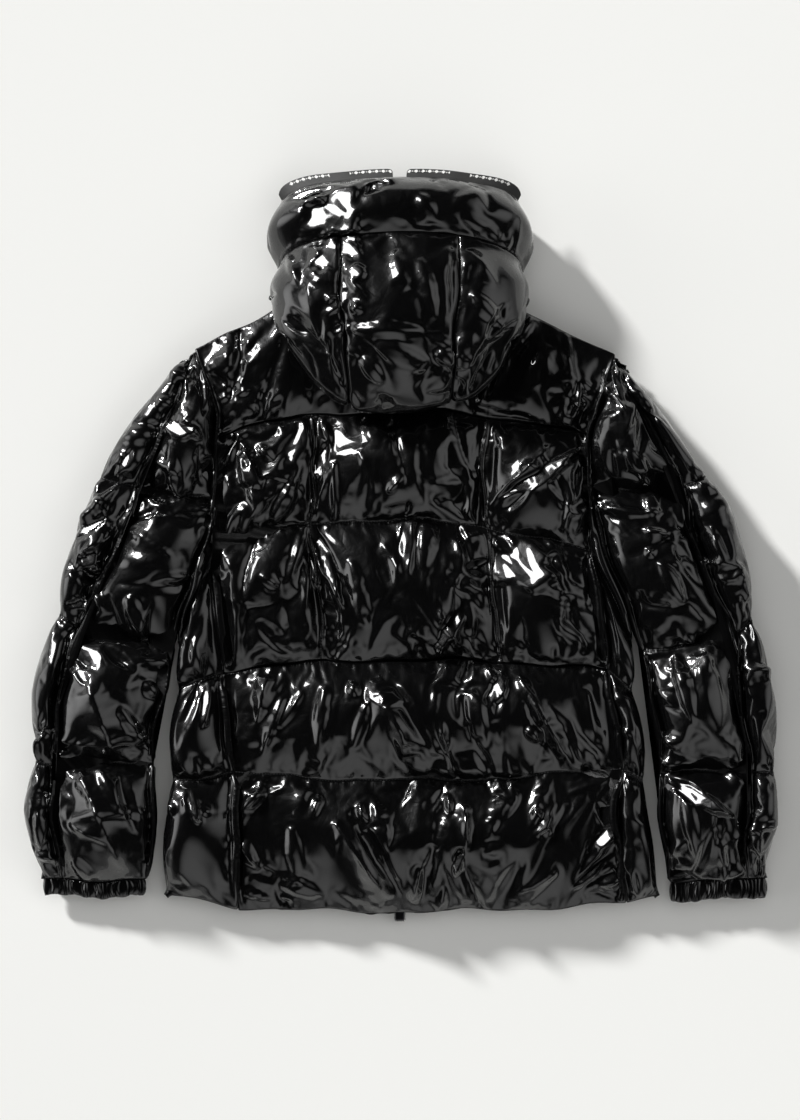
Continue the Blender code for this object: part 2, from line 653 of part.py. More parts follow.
def hood_panel(name, places, turns, material):
    """A piece of the hood along some places, across some turns."""
    outer, inner = [], []
    for place in places:
        puff_size, wall = hood_section(place)[6:]
        first, last = turns[0][0](place), turns[-1][1](place)
        outer_row, inner_row = [], []
        for turn, cut_turn in hood_columns(place, turns):
            base, normal = hood_base(place, turn), hood_normal(place, cut_turn)
            top = base + normal * puff_size * cell_rise((turn - first) / (last - first), (0.0, 1.0))
            below = base - normal * wall
            low = YOKE_HEIGHT_UNDER_HOOD + HOOD_CLEARANCE if base[1] < HOOD_LIES_TO_Y else 0.0
            outer_row.append((top[0], top[1], max(top[2], low)))
            inner_row.append((below[0], below[1], max(below[2], low + HOOD_FLOOR)))
        outer.append(outer_row)
        inner.append(inner_row)
    return wall_from_grids(name, outer, inner, material)


def left_edge(place):
    return -1.0


def right_edge(place):
    return 1.0


def left_seam(place):
    return -seam_turn(place)


def make_hood(material, tape_material):
    last = len(HOOD_SECTIONS) - 1
    seam_section = [section[0] for section in HOOD_SECTIONS].index("brim_seam")
    brim_seam = seam_section / last
    brim_places = [brim_seam * k / 5 for k in range(5)] + [brim_seam - BRIM_SEAM_GAP]
    crown_places = [(seam_section + number + k / rows) / last
                    for number, rows in enumerate(HOOD_ROWS) for k in range(rows)] + [1.0]
    crown_places[0] += BRIM_SEAM_GAP
    left_turn = (left_edge, left_seam, HOOD_SIDE_COLUMNS)
    centre_turn = (left_seam, seam_turn, HOOD_CENTRE_COLUMNS)
    right_turn = (seam_turn, right_edge, HOOD_SIDE_COLUMNS)
    brim_turns = (left_turn, centre_turn, right_turn)
    hood_panel("hood_brim", brim_places, brim_turns, material)
    hood_panel("hood_side_left", crown_places, (left_turn,), material)
    hood_panel("hood_centre", crown_places, (centre_turn,), material)
    hood_panel("hood_side_right", crown_places, (right_turn,), material)
    for side, sign in (("left", -1), ("right", 1)):
        make_tape(f"hood_tape_{side}", sign, brim_turns, tape_material)


def make_tape(name, sign, brim_turns, material):
    """A flat woven strip that stands out from the hood's edge."""
    upper, lower = [], []
    turns = [pair for pair in hood_columns(0.0, brim_turns) if TAPE_START < sign * pair[0] < TAPE_END]
    turns.append((sign * TAPE_START, sign * TAPE_START))
    for turn, cut_turn in sorted(turns):
        edge, normal = hood_base(0.0, turn), hood_normal(0.0, cut_turn)
        outwards = edge - hood_base(0.01, turn)
        near = edge + outwards / np.linalg.norm(outwards) * TAPE_GAP - normal * TAPE_DEPTH
        drop = TAPE_DROP * max(math.cos(turn * math.radians(HOOD_SECTIONS[0][6])), 0.0)
        far = near + np.array([(edge[0] - HOOD_X) * TAPE_FLARE, TAPE_WIDTH, -drop])
        upper.append([tuple(near), tuple(far)])
        lower.append([tuple(point - normal * TAPE_THICKNESS) for point in (near, far)])
    return wall_from_grids(name, upper, lower, material)


# ------------------------------------------------------------------ cuffs and zip
def flattened_ring(count):
    """Evenly spread places (across, up), each -1 to 1, round a ring that lies flat."""
    ring = []
    for k in range(count):
        across = -1 + 4 * k / count if k < count / 2 else 3 - 4 * k / count
        up = (1 - abs(across) ** CUFF_SQUARENESS) ** (1 / CUFF_SQUARENESS)
        ring.append((across, up if k < count / 2 else -up))
    return ring


def make_cuffs(material):
    """A flattened ring of gathered cloth over elastic."""
    for side, (centre_x, half_width, y_sleeve, y_open) in CUFFS.items():
        outer, inner = [], []
        for share, swell in CUFF_PROFILE:
            y = y_sleeve + (y_open - y_sleeve) * share
            middle = mid_height(y)
            outer_ring, inner_ring = [], []
            for k, (across, up) in enumerate(flattened_ring(2 * CUFF_GATHERS)):
                crease = swell - (GATHER_DEPTH if k % 2 else 0.0)
                outer_ring.append((centre_x + (half_width + crease) * across, y,
                                   middle + (CUFF_HALF_HEIGHT + crease) * up))
                inner_ring.append((centre_x + (half_width - CUFF_WALL) * across, y,
                                   middle + CUFF_HOLLOW_HALF_HEIGHT * up))
            outer.append(outer_ring)
            inner.append(inner_ring)
        wall_from_grids(f"cuff_{side}", outer, inner, material, closed=True)


def zip_level(y):
    """Height of the underside of the zip's tape, between the edges of the two fronts."""
    return front_height(ZIP_HALF_WIDTH, y, 0.0) + ZIP_TAPE_THICKNESS


def make_zip_tape(material):
    upper, lower = [], []
    half_width = ZIP_HALF_WIDTH - SEAM_GAP
    bead = CHAIN_HALF_WIDTH - CHAIN_HEIGHT
    section = [(-half_width, 0.0), (-CHAIN_HALF_WIDTH, 0.0), (-bead, -CHAIN_HEIGHT),
               (bead, -CHAIN_HEIGHT), (CHAIN_HALF_WIDTH, 0.0), (half_width, 0.0)]
    for y in np.linspace(FRONT_NECK_Y - 2.0, ZIP_TAPE_END_Y, 30):
        level = zip_level(y)
        lower.append([(x, y, level + drop) for x, drop in section])
        upper.append([(x, y, level + ZIP_TAPE_THICKNESS) for x, _ in section])
    return wall_from_grids("zip_tape", upper, lower, material)


def bevelled_box(name, size, centre, width, material):
    bm = bmesh.new()
    bmesh.ops.create_cube(bm, size=1.0)
    bmesh.ops.scale(bm, vec=Vector(size) * MM, verts=bm.verts)
    bmesh.ops.translate(bm, vec=Vector(centre) * MM, verts=bm.verts)
    bmesh.ops.bevel(bm, geom=bm.edges[:], offset=width * MM, affect="EDGES", segments=2, profile=0.5,
                    material=-1)
    return add_object(name, bm, material)


def make_slider(material):
    """Slider body with two lugs that hold the pull tab's barrel."""
    centre_z = zip_level(SLIDER_Y) - CHAIN_HEIGHT - SLIDER_GAP - SLIDER_SIZE[2] / 2
    slider = bevelled_box("zip_slider", SLIDER_SIZE, (0, SLIDER_Y, centre_z), 1.2, material)
    hinge = (0.0, SLIDER_Y, centre_z - SLIDER_SIZE[2] / 2 - PULL_SIZE[2] / 2 - PULL_GAP)
    lug_x = PULL_SIZE[0] / 2 + SLIDER_GAP + LUG_SIZE[0] / 2
    for index, sign in enumerate((-1, 1)):
        lug = bevelled_box(f"lug_{index}", LUG_SIZE, (sign * lug_x, SLIDER_Y, hinge[2] + LUG_RISE), 0.3,
                           material)
        jacket.objects.unlink(lug)
        cutters.objects.link(lug)
        lug.hide_render = True
        lug.display_type = "WIRE"
        union = slider.modifiers.new(f"lug {index}", "BOOLEAN")
        union.operation = "UNION"
        union.object = lug
    return hinge


def make_pull(hinge, material):
    """Flat tab along -Y with a rounded barrel end on the hinge line and a rounded free end."""
    width, length, thickness = (size * MM for size in PULL_SIZE)
    radius = thickness / 2
    bm = bmesh.new()
    bmesh.ops.create_cone(bm, cap_ends=True, segments=16, radius1=radius, radius2=radius, depth=width)
    bmesh.ops.rotate(bm, verts=bm.verts, matrix=Matrix.Rotation(math.pi / 2, 3, "Y"))
    for vert in bm.verts:
        if vert.co.y < -radius / 100:
            vert.co.y -= length - radius
    pull = add_object("zip_pull", bm, material)
    pull.location = Vector(hinge) * MM


def make_zip_box(material):
    centre = (ZIP_BOX_X, ZIP_BOX_Y, zip_level(ZIP_TAPE_END_Y) + ZIP_TAPE_THICKNESS / 2)
    bevelled_box("zip_box", ZIP_BOX_SIZE, centre, 1.0, material)


# ------------------------------------------------------------------ the model
for old in list(bpy.data.objects):
    bpy.data.objects.remove(old)
jacket = bpy.data.collections.new("hooded_puffer_jacket")
cutters = bpy.data.collections.new("cutters")
for collection in (jacket, cutters):
    bpy.context.scene.collection.children.link(collection)

gloss_black = new_material("glossy black shell", (0.004, 0.004, 0.005), 0.12, coat=1.0)
tape_black = new_material("black woven tape", (0.006, 0.006, 0.006), 0.6)
zip_metal = new_material("dark zip metal", (0.05, 0.05, 0.055), 0.3, metallic=1.0)

make_back(gloss_black)
make_sides(gloss_black)
make_fronts(gloss_black)
make_sleeves(gloss_black)
make_hood(gloss_black, tape_black)
make_cuffs(gloss_black)
make_zip_tape(tape_black)
hinge_place = make_slider(zip_metal)
make_pull(hinge_place, zip_metal)
make_zip_box(zip_metal)
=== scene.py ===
import math

import bmesh
import bpy
import numpy as np
from mathutils import Matrix, Vector
from mathutils.bvhtree import BVHTree


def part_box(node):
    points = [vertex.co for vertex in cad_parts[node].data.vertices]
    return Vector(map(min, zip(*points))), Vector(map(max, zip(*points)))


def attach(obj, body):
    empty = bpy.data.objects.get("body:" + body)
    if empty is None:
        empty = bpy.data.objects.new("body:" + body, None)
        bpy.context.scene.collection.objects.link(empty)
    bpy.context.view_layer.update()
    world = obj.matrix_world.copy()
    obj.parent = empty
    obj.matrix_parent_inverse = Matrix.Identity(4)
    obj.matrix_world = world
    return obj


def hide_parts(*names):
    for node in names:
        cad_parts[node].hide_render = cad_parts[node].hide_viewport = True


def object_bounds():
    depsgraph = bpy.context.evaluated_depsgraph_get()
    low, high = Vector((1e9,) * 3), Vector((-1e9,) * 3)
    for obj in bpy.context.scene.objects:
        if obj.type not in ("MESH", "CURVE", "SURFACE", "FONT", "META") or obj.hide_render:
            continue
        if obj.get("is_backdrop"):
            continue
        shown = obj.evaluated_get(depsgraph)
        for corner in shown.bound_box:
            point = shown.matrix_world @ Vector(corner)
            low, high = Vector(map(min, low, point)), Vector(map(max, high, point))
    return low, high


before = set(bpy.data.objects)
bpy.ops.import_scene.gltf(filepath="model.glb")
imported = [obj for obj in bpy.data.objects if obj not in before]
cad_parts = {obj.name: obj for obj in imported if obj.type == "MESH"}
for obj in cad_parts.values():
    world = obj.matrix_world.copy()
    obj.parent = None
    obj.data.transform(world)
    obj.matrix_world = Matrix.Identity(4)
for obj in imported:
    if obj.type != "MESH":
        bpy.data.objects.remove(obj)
cad_low, cad_high = (list(corner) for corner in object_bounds())
print("frame", [round(value, 3) for value in (*cad_low, *cad_high)])

MM = 0.001
BODY = "garment"


# %% Small helpers
def add_object(name, data):
    """An object for a mesh, a lamp or a camera, in the scene."""
    made = bpy.data.objects.new(name, data)
    bpy.context.scene.collection.objects.link(made)
    return made


def to_mesh(name, bm):
    """A mesh from a bmesh, which is freed."""
    mesh = bpy.data.meshes.new(name)
    bm.to_mesh(mesh)
    bm.free()
    return mesh


def read_vectors(items, key="co"):
    """One vector of each vertex of a mesh, or of each point of a shape key, as rows."""
    found = np.empty(len(items) * 3)
    items.foreach_get(key, found)
    return found.reshape(-1, 3)


def running_sum(steps):
    return np.concatenate([[0.0], np.cumsum(steps)])


def lengths_along(points):
    """How far along a line each of its points lies."""
    return running_sum(np.linalg.norm(np.diff(points, axis=0), axis=1))


print("helpers ready")

# %% [markdown]
# ## The camera
#
# A jacket that lies on a floor is best seen from straight above, from far enough away
# that the hood, which stands highest, doesn't look larger than the rest. A long lens at six
# metres does that. The camera is made first, because everything else is judged through it.
# %% Camera
PICTURE_WIDTH = 0.9374       # metres from one side of the picture to the other, at MIDDLE_HEIGHT
MIDDLE_HEIGHT = 0.04
CAMERA_HEIGHT = 6.0
CAMERA_CENTRE = (-0.0029, -0.0182)
SENSOR_WIDTH = 36.0
CLIP_END = 60.0

camera_data = bpy.data.cameras.new("camera")
camera_data.sensor_fit = "HORIZONTAL"
camera_data.sensor_width = SENSOR_WIDTH
camera_data.lens = SENSOR_WIDTH * (CAMERA_HEIGHT - MIDDLE_HEIGHT) / PICTURE_WIDTH
camera_data.clip_end = CLIP_END
camera = add_object("camera", camera_data)
camera.location = (*CAMERA_CENTRE, CAMERA_HEIGHT)
bpy.context.scene.camera = camera
print("lens", round(camera_data.lens, 1), "mm")

# %% [markdown]
# ## The cut
#
# A puffer jacket is a few flat pieces, quilted along lines and sewn edge to edge. Laid flat,
# each piece is a patch of the plane between four lines, so the cut is written down as seams
# that run down the jacket, and quilting lines that run across it. All sizes are millimetres,
# with x to the right and y towards the hood. A smooth line through a few points is enough,
# because cloth has no corners between its seams.
# %% Seams that run down
class Seam:
    """A smooth line down the flat jacket, given by a few points (x, y)."""

    def __init__(self, *points):
        self.x, self.y = np.array(sorted(points, key=lambda point: point[1]), float).T
        self.slope = np.gradient(self.x, self.y)

    def at(self, y):
        y = np.clip(y, self.y[0], self.y[-1])
        k = np.clip(np.searchsorted(self.y, y, side="right") - 1, 0, len(self.y) - 2)
        span = self.y[k + 1] - self.y[k]
        t = (y - self.y[k]) / span
        rise = self.x[k] * (1 + 2 * t) * (1 - t) ** 2 + self.x[k + 1] * t * t * (3 - 2 * t)
        lean = self.slope[k] * t * (1 - t) ** 2 - self.slope[k + 1] * t * t * (1 - t)
        return np.stack([rise + span * lean, y], axis=-1)


class SeamAbove(Seam):
    """One seam that runs on above another, moved sideways by an ease."""

    def __init__(self, lower, upper, ease=0.0):
        self.lower, self.upper, self.ease = lower, upper, ease

    def at(self, y):
        above = self.upper.at(y) + (self.ease, 0.0)
        return np.where((np.asarray(y) < self.lower.y[-1])[..., None], self.lower.at(y), above)


SIDES = ("left", "right")
SLEEVE_OUTER = {
    "left": Seam((-254, 219), (-288, 181), (-337, 111), (-366, 66), (-390, -6), (-409, -78),
                 (-428, -147), (-437, -243), (-441, -320), (-426, -394)),
    "right": Seam((258, 210), (285, 181), (336, 111), (370, 66), (399, -6), (415, -85),
                  (432, -147), (439, -241), (440, -310), (428, -394)),
}
ARMHOLE = {
    "left": Seam((-243, 229), (-224, 180), (-216, 122), (-219, 64), (-232, -1), (-253, -70),
                 (-266, -103)),
    "right": Seam((247, 220), (231, 170), (218, 115), (216, 68), (228, 25), (248, -35),
                  (269, -96)),
}
SLEEVE_INNER = {
    "left": Seam((-266.5, -103), (-279, -170), (-290, -225), (-294, -302), (-292, -365), (-300, -394)),
    "right": Seam((269.5, -96), (286, -140), (297, -205), (302, -285), (308, -350), (313, -394)),
}
SLEEVE_SEAM = {
    "left": Seam((-247, 212), (-283, 130), (-308, 64), (-335, 0), (-366, -69), (-384, -100),
                 (-398, -170), (-410, -255), (-407, -336), (-400, -394)),
    "right": Seam((250, 202), (296, 130), (326, 66), (340, 10), (363, -46), (387, -102),
                  (394, -170), (405, -250), (404, -330), (404, -394)),
}
BODY_SIDE = {
    "left": Seam((-265, -103), (-270, -190), (-277, -278), (-280, -358), (-281, -412)),
    "right": Seam((268, -96), (277, -174), (285, -250), (290, -319), (302, -412)),
}
BACK_SEAM = {
    "left": Seam((-219, 64), (-222, 4), (-214, -90), (-211, -148), (-205, -230), (-195, -320),
                 (-196, -427)),
    "right": Seam((216, 68), (221, 5), (228, -40), (236, -110), (245, -165), (256, -250), (252, -320),
                  (262, -422)),
}
FRONT_SEAM = {
    "left": Seam((-219, 64), (-230, -60), (-228, -200), (-222, -300), (-224, -424)),
    "right": Seam((216, 68), (232, -60), (240, -200), (242, -300), (246, -422)),
}
ZIP_HALF_WIDTH = 9.0
ZIP_EDGE = {side: Seam(*((sign * ZIP_HALF_WIDTH, y) for y in (268, 0, -434)))
            for side, sign in zip(SIDES, (-1, 1))}
SHOULDER_POINT = {"left": (-243, 229), "right": (247, 220)}
NECK_POINT = {"left": (-96, 303), "right": (96, 301)}
BACK_NECK_Y = 292.0
FRONT_NECK_Y = 262.0

# %% Quilting lines that run across
# y at the left seam, y at the right seam, and how far the line rises in the middle
BACK_LINES = {
    "hem": (-427, -422, -7),
    "lower": (-267, -262, -11),
    "waist": (-148, -148, 13),
    "chest": (4, -9, 31),
    "yoke": (129, 127, 28),
}
COLUMN_SEAMS = (0.26, 0.72)      # upright quilting lines of the middle back, as shares of its width
# y at the back seam, at the side and at the front seam, from the hem upwards
SIDE_LINES = {
    "left": ((-427, -412, -424), (-267, -276, -270), (-148, -172, -150), (4, -128, -45), (64, -103, 64)),
    "right": ((-422, -412, -422), (-262, -276, -270), (-148, -172, -150), (-9, -122, -45), (68, -96, 68)),
}
# y at the side and y at the zip, from the hem upwards
FRONT_LINES = {
    "left": ((-424, -434), (-270, -275), (-150, -145), (-45, -30), (64, 76), (145, 165), (229, 262)),
    "right": ((-422, -434), (-270, -275), (-150, -145), (-45, -30), (68, 76), (145, 165), (220, 262)),
}
# y at the long seam, at the outer edge and at the underarm seam, from the cuff upwards
SLEEVE_LINES = {
    "left": ((-394, -394, -394), (-255, -254, -258), (-96, -80, -120), (64, 79, 56), (215, 221, 226)),
    "right": ((-394, -394, -394), (-266, -264, -267), (-104, -88, -126), (66, 80, 67), (205, 212, 217)),
}


def straight(start, end, rise=0.0):
    """A line from start to end as a function of shares 0 to 1, bowed upwards by rise."""
    start, end = np.array(start, float), np.array(end, float)

    def line(u):
        u = np.asarray(u, float)[..., None]
        return start + (end - start) * u + np.array([0.0, rise]) * 4 * u * (1 - u)
    return line


def stretch(seam, y_start, y_end):
    """A part of a seam as a function of shares 0 to 1."""
    return lambda v: seam.at(y_start + (y_end - y_start) * np.asarray(v, float))


def patch(left, right, bottom, top, u, v):
    """Points of the patch between four lines, at shares u across and v up, which match in shape."""
    up, across = v[..., None], u[..., None]
    ruled = (1 - across) * left(v) + across * right(v) + (1 - up) * bottom(u) + up * top(u)
    low = (1 - across) * bottom(0.0) + across * bottom(1.0)
    high = (1 - across) * top(0.0) + across * top(1.0)
    return ruled - (1 - up) * low - up * high


print("cut:", len(BACK_LINES), "quilting lines across the back")

# %% [markdown]
# ## From a solid to a sheet of cloth
#
# Wrinkles need a fine, even grid whose rows and columns follow the seams, because real
# puckers start at a seam and run square to it. The solids of the frame are far too coarse
# for that, but they have the right height everywhere. So each sheet starts as a flat grid
# between its seams and is dropped onto its solid, one ray for each point. Round the outer
# edge of a sleeve or a side the rays come in from the side, fanned about a point inside.
# %% Rays onto a solid
MID_HEIGHT = 33.0            # height of the space between the back and the front of the jacket
HEM_MID_HEIGHT = 16.0        # the same at the hem and the cuffs
SETTLE_FROM, SETTLE_TO = -290.0, -425.0
EDGE_ROLL = 36.0             # width over which an outer edge rounds off
MOST_ROLL = 0.6              # the most of a sheet's width that rounds off
SEAM_MARGIN = 0.25           # from the edge of a sheet to the line it is sewn on
RAY_LENGTH = 250.0
UPRIGHT = 0.99               # an upright ray that misses takes only its height from the solid
FLAT_GUESS = 12.0            # the cloth is guessed to lie this far above or below the middle layer
ROLL_GUESS = 20.0            # and round an outer edge this far from the line the rays are fanned about


def mid_height(y):
    settle = np.clip((SETTLE_FROM - y) / (SETTLE_FROM - SETTLE_TO), 0.0, 1.0)
    return MID_HEIGHT + (HEM_MID_HEIGHT - MID_HEIGHT) * settle * settle * (3 - 2 * settle)


def tree_of(*names):
    """One search tree over the named solids."""
    points, faces = [], []
    for name in names:
        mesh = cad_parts[name].data
        faces += [[index + len(points) for index in polygon.vertices] for polygon in mesh.polygons]
        points += [vertex.co.copy() for vertex in mesh.vertices]
    return BVHTree.FromPolygons(points, faces)


def drop(tree, guesses, directions):
    """Where rays towards the guesses, which come in against the directions, meet the solid."""
    found = []
    for guess, direction in zip(guesses * MM, directions):
        direction = Vector(direction)
        start = Vector(guess) + direction * (RAY_LENGTH * MM)
        hit = tree.ray_cast(start, -direction)[0]
        if hit is None:
            hit = tree.find_nearest(Vector(guess))[0]
            if abs(direction.z) > UPRIGHT:
                hit = Vector((guess[0], guess[1], hit.z))
        found.append(hit)
    return np.array([tuple(point) for point in found]) / MM


# %% A grid between four lines
LEAST_ROWS = 6               # grid rows of the lowest quilted row


def even_rows(lines_y, size):
    """How many grid rows each quilted row needs, from the y of its lines."""
    return [max(LEAST_ROWS, round(abs(high - low) / size)) for low, high in zip(lines_y, lines_y[1:])]


def row_shares(counts):
    """For each grid row: which quilted row it is in, its share of that row, and if it is on a line."""
    rows = [(cell, step / count, step == 0) for cell, count in enumerate(counts) for step in range(count)]
    return rows + [(len(counts) - 1, 1.0, True)]


def flat_grid(left, right, lines, column_seams, width, size):
    """Points (x, y) of a flat panel and which of them are sewn.

    left and right are a seam and its y at each line, lines are functions across the panel, and
    width is how wide the panel is at its usual place, which sets the number of columns.
    """
    columns = round(width / size)
    seams = [0, *(round(share * columns) for share in column_seams), columns]
    across = np.interp(np.arange(columns + 1), seams, [0.0, *column_seams, 1.0])
    counts = even_rows([(a + b) / 2 for a, b in zip(left[1], right[1])], size)
    margin = SEAM_MARGIN / width
    across = margin + across * (1 - 2 * margin)
    grid, sewn = [], []
    rows = row_shares(counts)
    for index, (cell, share, on_line) in enumerate(rows):
        height = abs(left[1][cell + 1] - left[1][cell])
        if index in (0, len(rows) - 1):
            share = abs(share - SEAM_MARGIN / height)
        sides = (stretch(left[0], *left[1][cell:cell + 2]), stretch(right[0], *right[1][cell:cell + 2]))
        grid.append(patch(*sides, lines[cell], lines[cell + 1], across, np.full(columns + 1, share)))
        sewn.append([on_line or column in seams for column in range(columns + 1)])
    return np.array(grid), np.array(sewn)


def flat_sheet(node, layer, *grid_facts):
    """A sheet on a panel of the back (layer 1) or of the front (layer -1)."""
    plan, sewn = flat_grid(*grid_facts)
    flat = plan.reshape(-1, 2)
    guesses = np.column_stack([flat, mid_height(flat[:, 1]) + layer * FLAT_GUESS])
    points = drop(tree_of(node), guesses, np.tile([0.0, 0.0, layer], (len(flat), 1)))
    return node, (points.reshape(*plan.shape[:2], 3), sewn)


# %% A grid that turns round an outer edge
def turned_sheet(node, back_seam, edge, front_seam, lines, top_lines, columns, size):
    """A sheet from the back seam, round the outer edge, to the front seam.

    columns are the numbers of columns on the flat of the back, round each half of the edge,
    and on the flat of the front.
    """
    back_columns, roll_columns, front_columns = columns
    halves = ((1, back_seam, 0, back_columns), (-1, front_seam, 2, front_columns))
    rows = row_shares(even_rows([line[1] for line in lines], size))
    guesses, directions, sewn = [], [], []
    for index, (cell, share, on_line) in enumerate(rows):
        low, high = lines[cell], lines[cell + 1]
        if index in (0, len(rows) - 1):
            share = abs(share - SEAM_MARGIN / abs(high[1] - low[1]))
        row_guesses, row_directions = [], []
        for layer, seam, number, flat_columns in halves:
            sides = (stretch(seam, low[number], high[number]), stretch(edge, low[1], high[1]))
            bottom = straight(seam.at(low[number]), edge.at(low[1]))
            top = straight(seam.at(high[number]), edge.at(high[1]))
            if top_lines and cell == len(lines) - 2:
                top = top_lines[0 if layer > 0 else 1]
            width = np.linalg.norm(sides[1](share) - sides[0](share))
            roll = min(EDGE_ROLL, MOST_ROLL * width)
            spine = 1 - roll / width
            across = np.concatenate([np.linspace(SEAM_MARGIN / width, spine, flat_columns, endpoint=False),
                                     np.full(roll_columns + 1, spine)])
            plan = patch(*sides, bottom, top, across, np.full(len(across), share))
            outwards = sides[1](share) - plan[-1]
            outwards /= np.linalg.norm(outwards)
            angles = np.concatenate([np.full(flat_columns, math.pi / 2),
                                     np.linspace(math.pi / 2, 0.0, roll_columns + 1)])
            heading = np.column_stack([np.outer(np.cos(angles), outwards), layer * np.sin(angles)])
            guess = np.column_stack([plan, mid_height(plan[:, 1])]) + heading * ROLL_GUESS
            if layer < 0:
                guess, heading = guess[-2::-1], heading[-2::-1]
            row_guesses.append(guess)
            row_directions.append(heading)
        guesses.append(np.concatenate(row_guesses))
        directions.append(np.concatenate(row_directions))
        sewn.append([on_line] * len(guesses[-1]))
        sewn[-1][0] = sewn[-1][-1] = True
    guesses = np.array(guesses)
    points = drop(tree_of(node), guesses.reshape(-1, 3), np.array(directions).reshape(-1, 3))
    return node, (points.reshape(guesses.shape), np.array(sewn))


# %% The sheets of the jacket
CLOTH = 3.3                  # grid size where the cloth shows
UNDER_CLOTH = 7.5            # and on the underside
TURN_COLUMNS = 15            # grid columns round half of an outer edge
BACK_WIDTH, MIDDLE_WIDTH, FRONT_WIDTH, SLEEVE_WIDTH = 455.0, 440.0, 220.0, 110.0
SHOULDER_SHARE = 0.62        # how much of a front's upper edge is shoulder, the rest is neck


def polyline(shares, points):
    """A line through points at the given shares, as a function of shares 0 to 1."""
    x, y = np.array(points, float).T
    return lambda u: np.stack([np.interp(u, shares, x), np.interp(u, shares, y)], axis=-1)


def back_sheets():
    left, right = (SeamAbove(BACK_SEAM[side], ARMHOLE[side]) for side in SIDES)
    line = {name: straight(left.at(a), right.at(b), rise) for name, (a, b, rise) in BACK_LINES.items()}
    neck = straight(NECK_POINT["left"], NECK_POINT["right"],
                    BACK_NECK_Y - (NECK_POINT["left"][1] + NECK_POINT["right"][1]) / 2)
    neck_shares = np.linspace(0.0, 1.0, 9)       # the neck takes the middle two fifths of the line
    shoulders = polyline([0.0, *(0.30 + 0.40 * neck_shares), 1.0],
                         [SHOULDER_POINT["left"], *neck(neck_shares), SHOULDER_POINT["right"]])

    def between(*names):
        return ((left, [BACK_LINES[name][0] for name in names]),
                (right, [BACK_LINES[name][1] for name in names]), [line[name] for name in names])

    yield flat_sheet("back_lower", 1, *between("hem", "lower", "waist"), (), BACK_WIDTH, CLOTH)
    yield flat_sheet("back_middle", 1, *between("waist", "chest", "yoke"), COLUMN_SEAMS, MIDDLE_WIDTH, CLOTH)
    yield flat_sheet("back_yoke", 1, (left, [129, 229]), (right, [127, 220]), [line["yoke"], shoulders], (),
                     BACK_WIDTH, CLOTH)


def side_sheets():
    for side in SIDES:
        lines = SIDE_LINES[side]
        back_y, side_y, front_y = lines[-1]
        armhole = [stretch(ARMHOLE[side], y, side_y) for y in (back_y, front_y)]
        yield turned_sheet(f"side_panel_{side}", BACK_SEAM[side], BODY_SIDE[side], FRONT_SEAM[side], lines,
                           armhole, (7, TURN_COLUMNS, 5), CLOTH)


def front_sheets():
    for side in SIDES:
        outer = SeamAbove(FRONT_SEAM[side], ARMHOLE[side])
        lines = [straight(outer.at(a), ZIP_EDGE[side].at(b)) for a, b in FRONT_LINES[side][:-1]]
        lines.append(polyline([0.0, SHOULDER_SHARE, 1.0],
                              [SHOULDER_POINT[side], NECK_POINT[side], ZIP_EDGE[side].at(FRONT_NECK_Y)]))
        outer_y, zip_y = zip(*FRONT_LINES[side])
        yield flat_sheet(f"front_{side}", -1, (outer, outer_y), (ZIP_EDGE[side], zip_y), lines, (),
                         FRONT_WIDTH, UNDER_CLOTH)


def sleeve_sheets():
    for side, ease in zip(SIDES, (-0.5, 0.5)):
        lines = SLEEVE_LINES[side]
        inner = SeamAbove(SLEEVE_INNER[side], ARMHOLE[side], ease)
        yield turned_sheet(f"sleeve_{side}_front", SLEEVE_SEAM[side], SLEEVE_OUTER[side], inner, lines, None,
                           (4, TURN_COLUMNS, 14), CLOTH)
        across = [straight(SLEEVE_SEAM[side].at(line[0]), inner.at(line[2])) for line in lines]
        yield flat_sheet(f"sleeve_{side}_back", 1, (SLEEVE_SEAM[side], [line[0] for line in lines]),
                         (inner, [line[2] for line in lines]), across, (), SLEEVE_WIDTH, CLOTH)


sheets = {}
for make in (back_sheets, side_sheets, front_sheets, sleeve_sheets):
    sheets.update(make())
# each sheet's heart is a grid of points inside the jacket, from which its outer side faces away
hearts = {node: np.dstack([points[..., :2], mid_height(points[..., 1])])
          for node, (points, _) in sheets.items()}
print("sheets:", {name: sewn.shape for name, (_, sewn) in sheets.items()})

# %% [markdown]
# ## The hood
#
# The hood stands up by itself: a brim band, and behind it three strips that run back over
# the crown, bulge out, and turn in under to the neck. Cut across anywhere, it is an arch, so
# a short table of arches, read smoothly, gives its whole surface.
# %% The hood's arches
# name, y_top, y_side, half_width, z_side, z_top, tuck, puff. An arch has its top on the middle
# line and its sides where it is widest. tuck is how far round it goes from the top, in degrees,
# and puff how far the filling pushes it out.
HOOD_SECTIONS = (
    ("edge", 427, 390, 139, 34, 70, 112, 2),
    ("brim", 398, 352, 141, 38, 92, 114, 16),
    ("brim_seam", 362, 316, 141, 42, 103, 116, 0),
    ("crown", 315, 300, 137, 46, 112, 114, 14),
    ("back", 262, 287, 131, 54, 112, 98, 19),
    ("nape", 208, 276, 126, 66, 103, 90, 19),
    ("bulge", 166, 264, 119, 78, 86, 90, 11),
    ("turn", 168, 268, 110, 65, 68, 90, 6),
    ("under", 200, 281, 96, 55.5, 55.5, 90, 0),
    ("neck", 284, 297, 88, 54.3, 54.3, 90, 0),
)
EDGE_TUCK = HOOD_SECTIONS[0][6]
HOOD_X = -3.0
HOOD_SEAM_ANGLE = 27.0
BRIM_SEAM = 2 / 9            # places along the hood go from 0, its edge, to 1, the neck
HOOD_CLOTH = 3.3
YOKE_TOP = 54.3              # the hood lies on the yoke below this y, and on the floor above it
HOOD_LIES_TO_Y = 296.0
HOOD_HEART_HEIGHT = 40.0
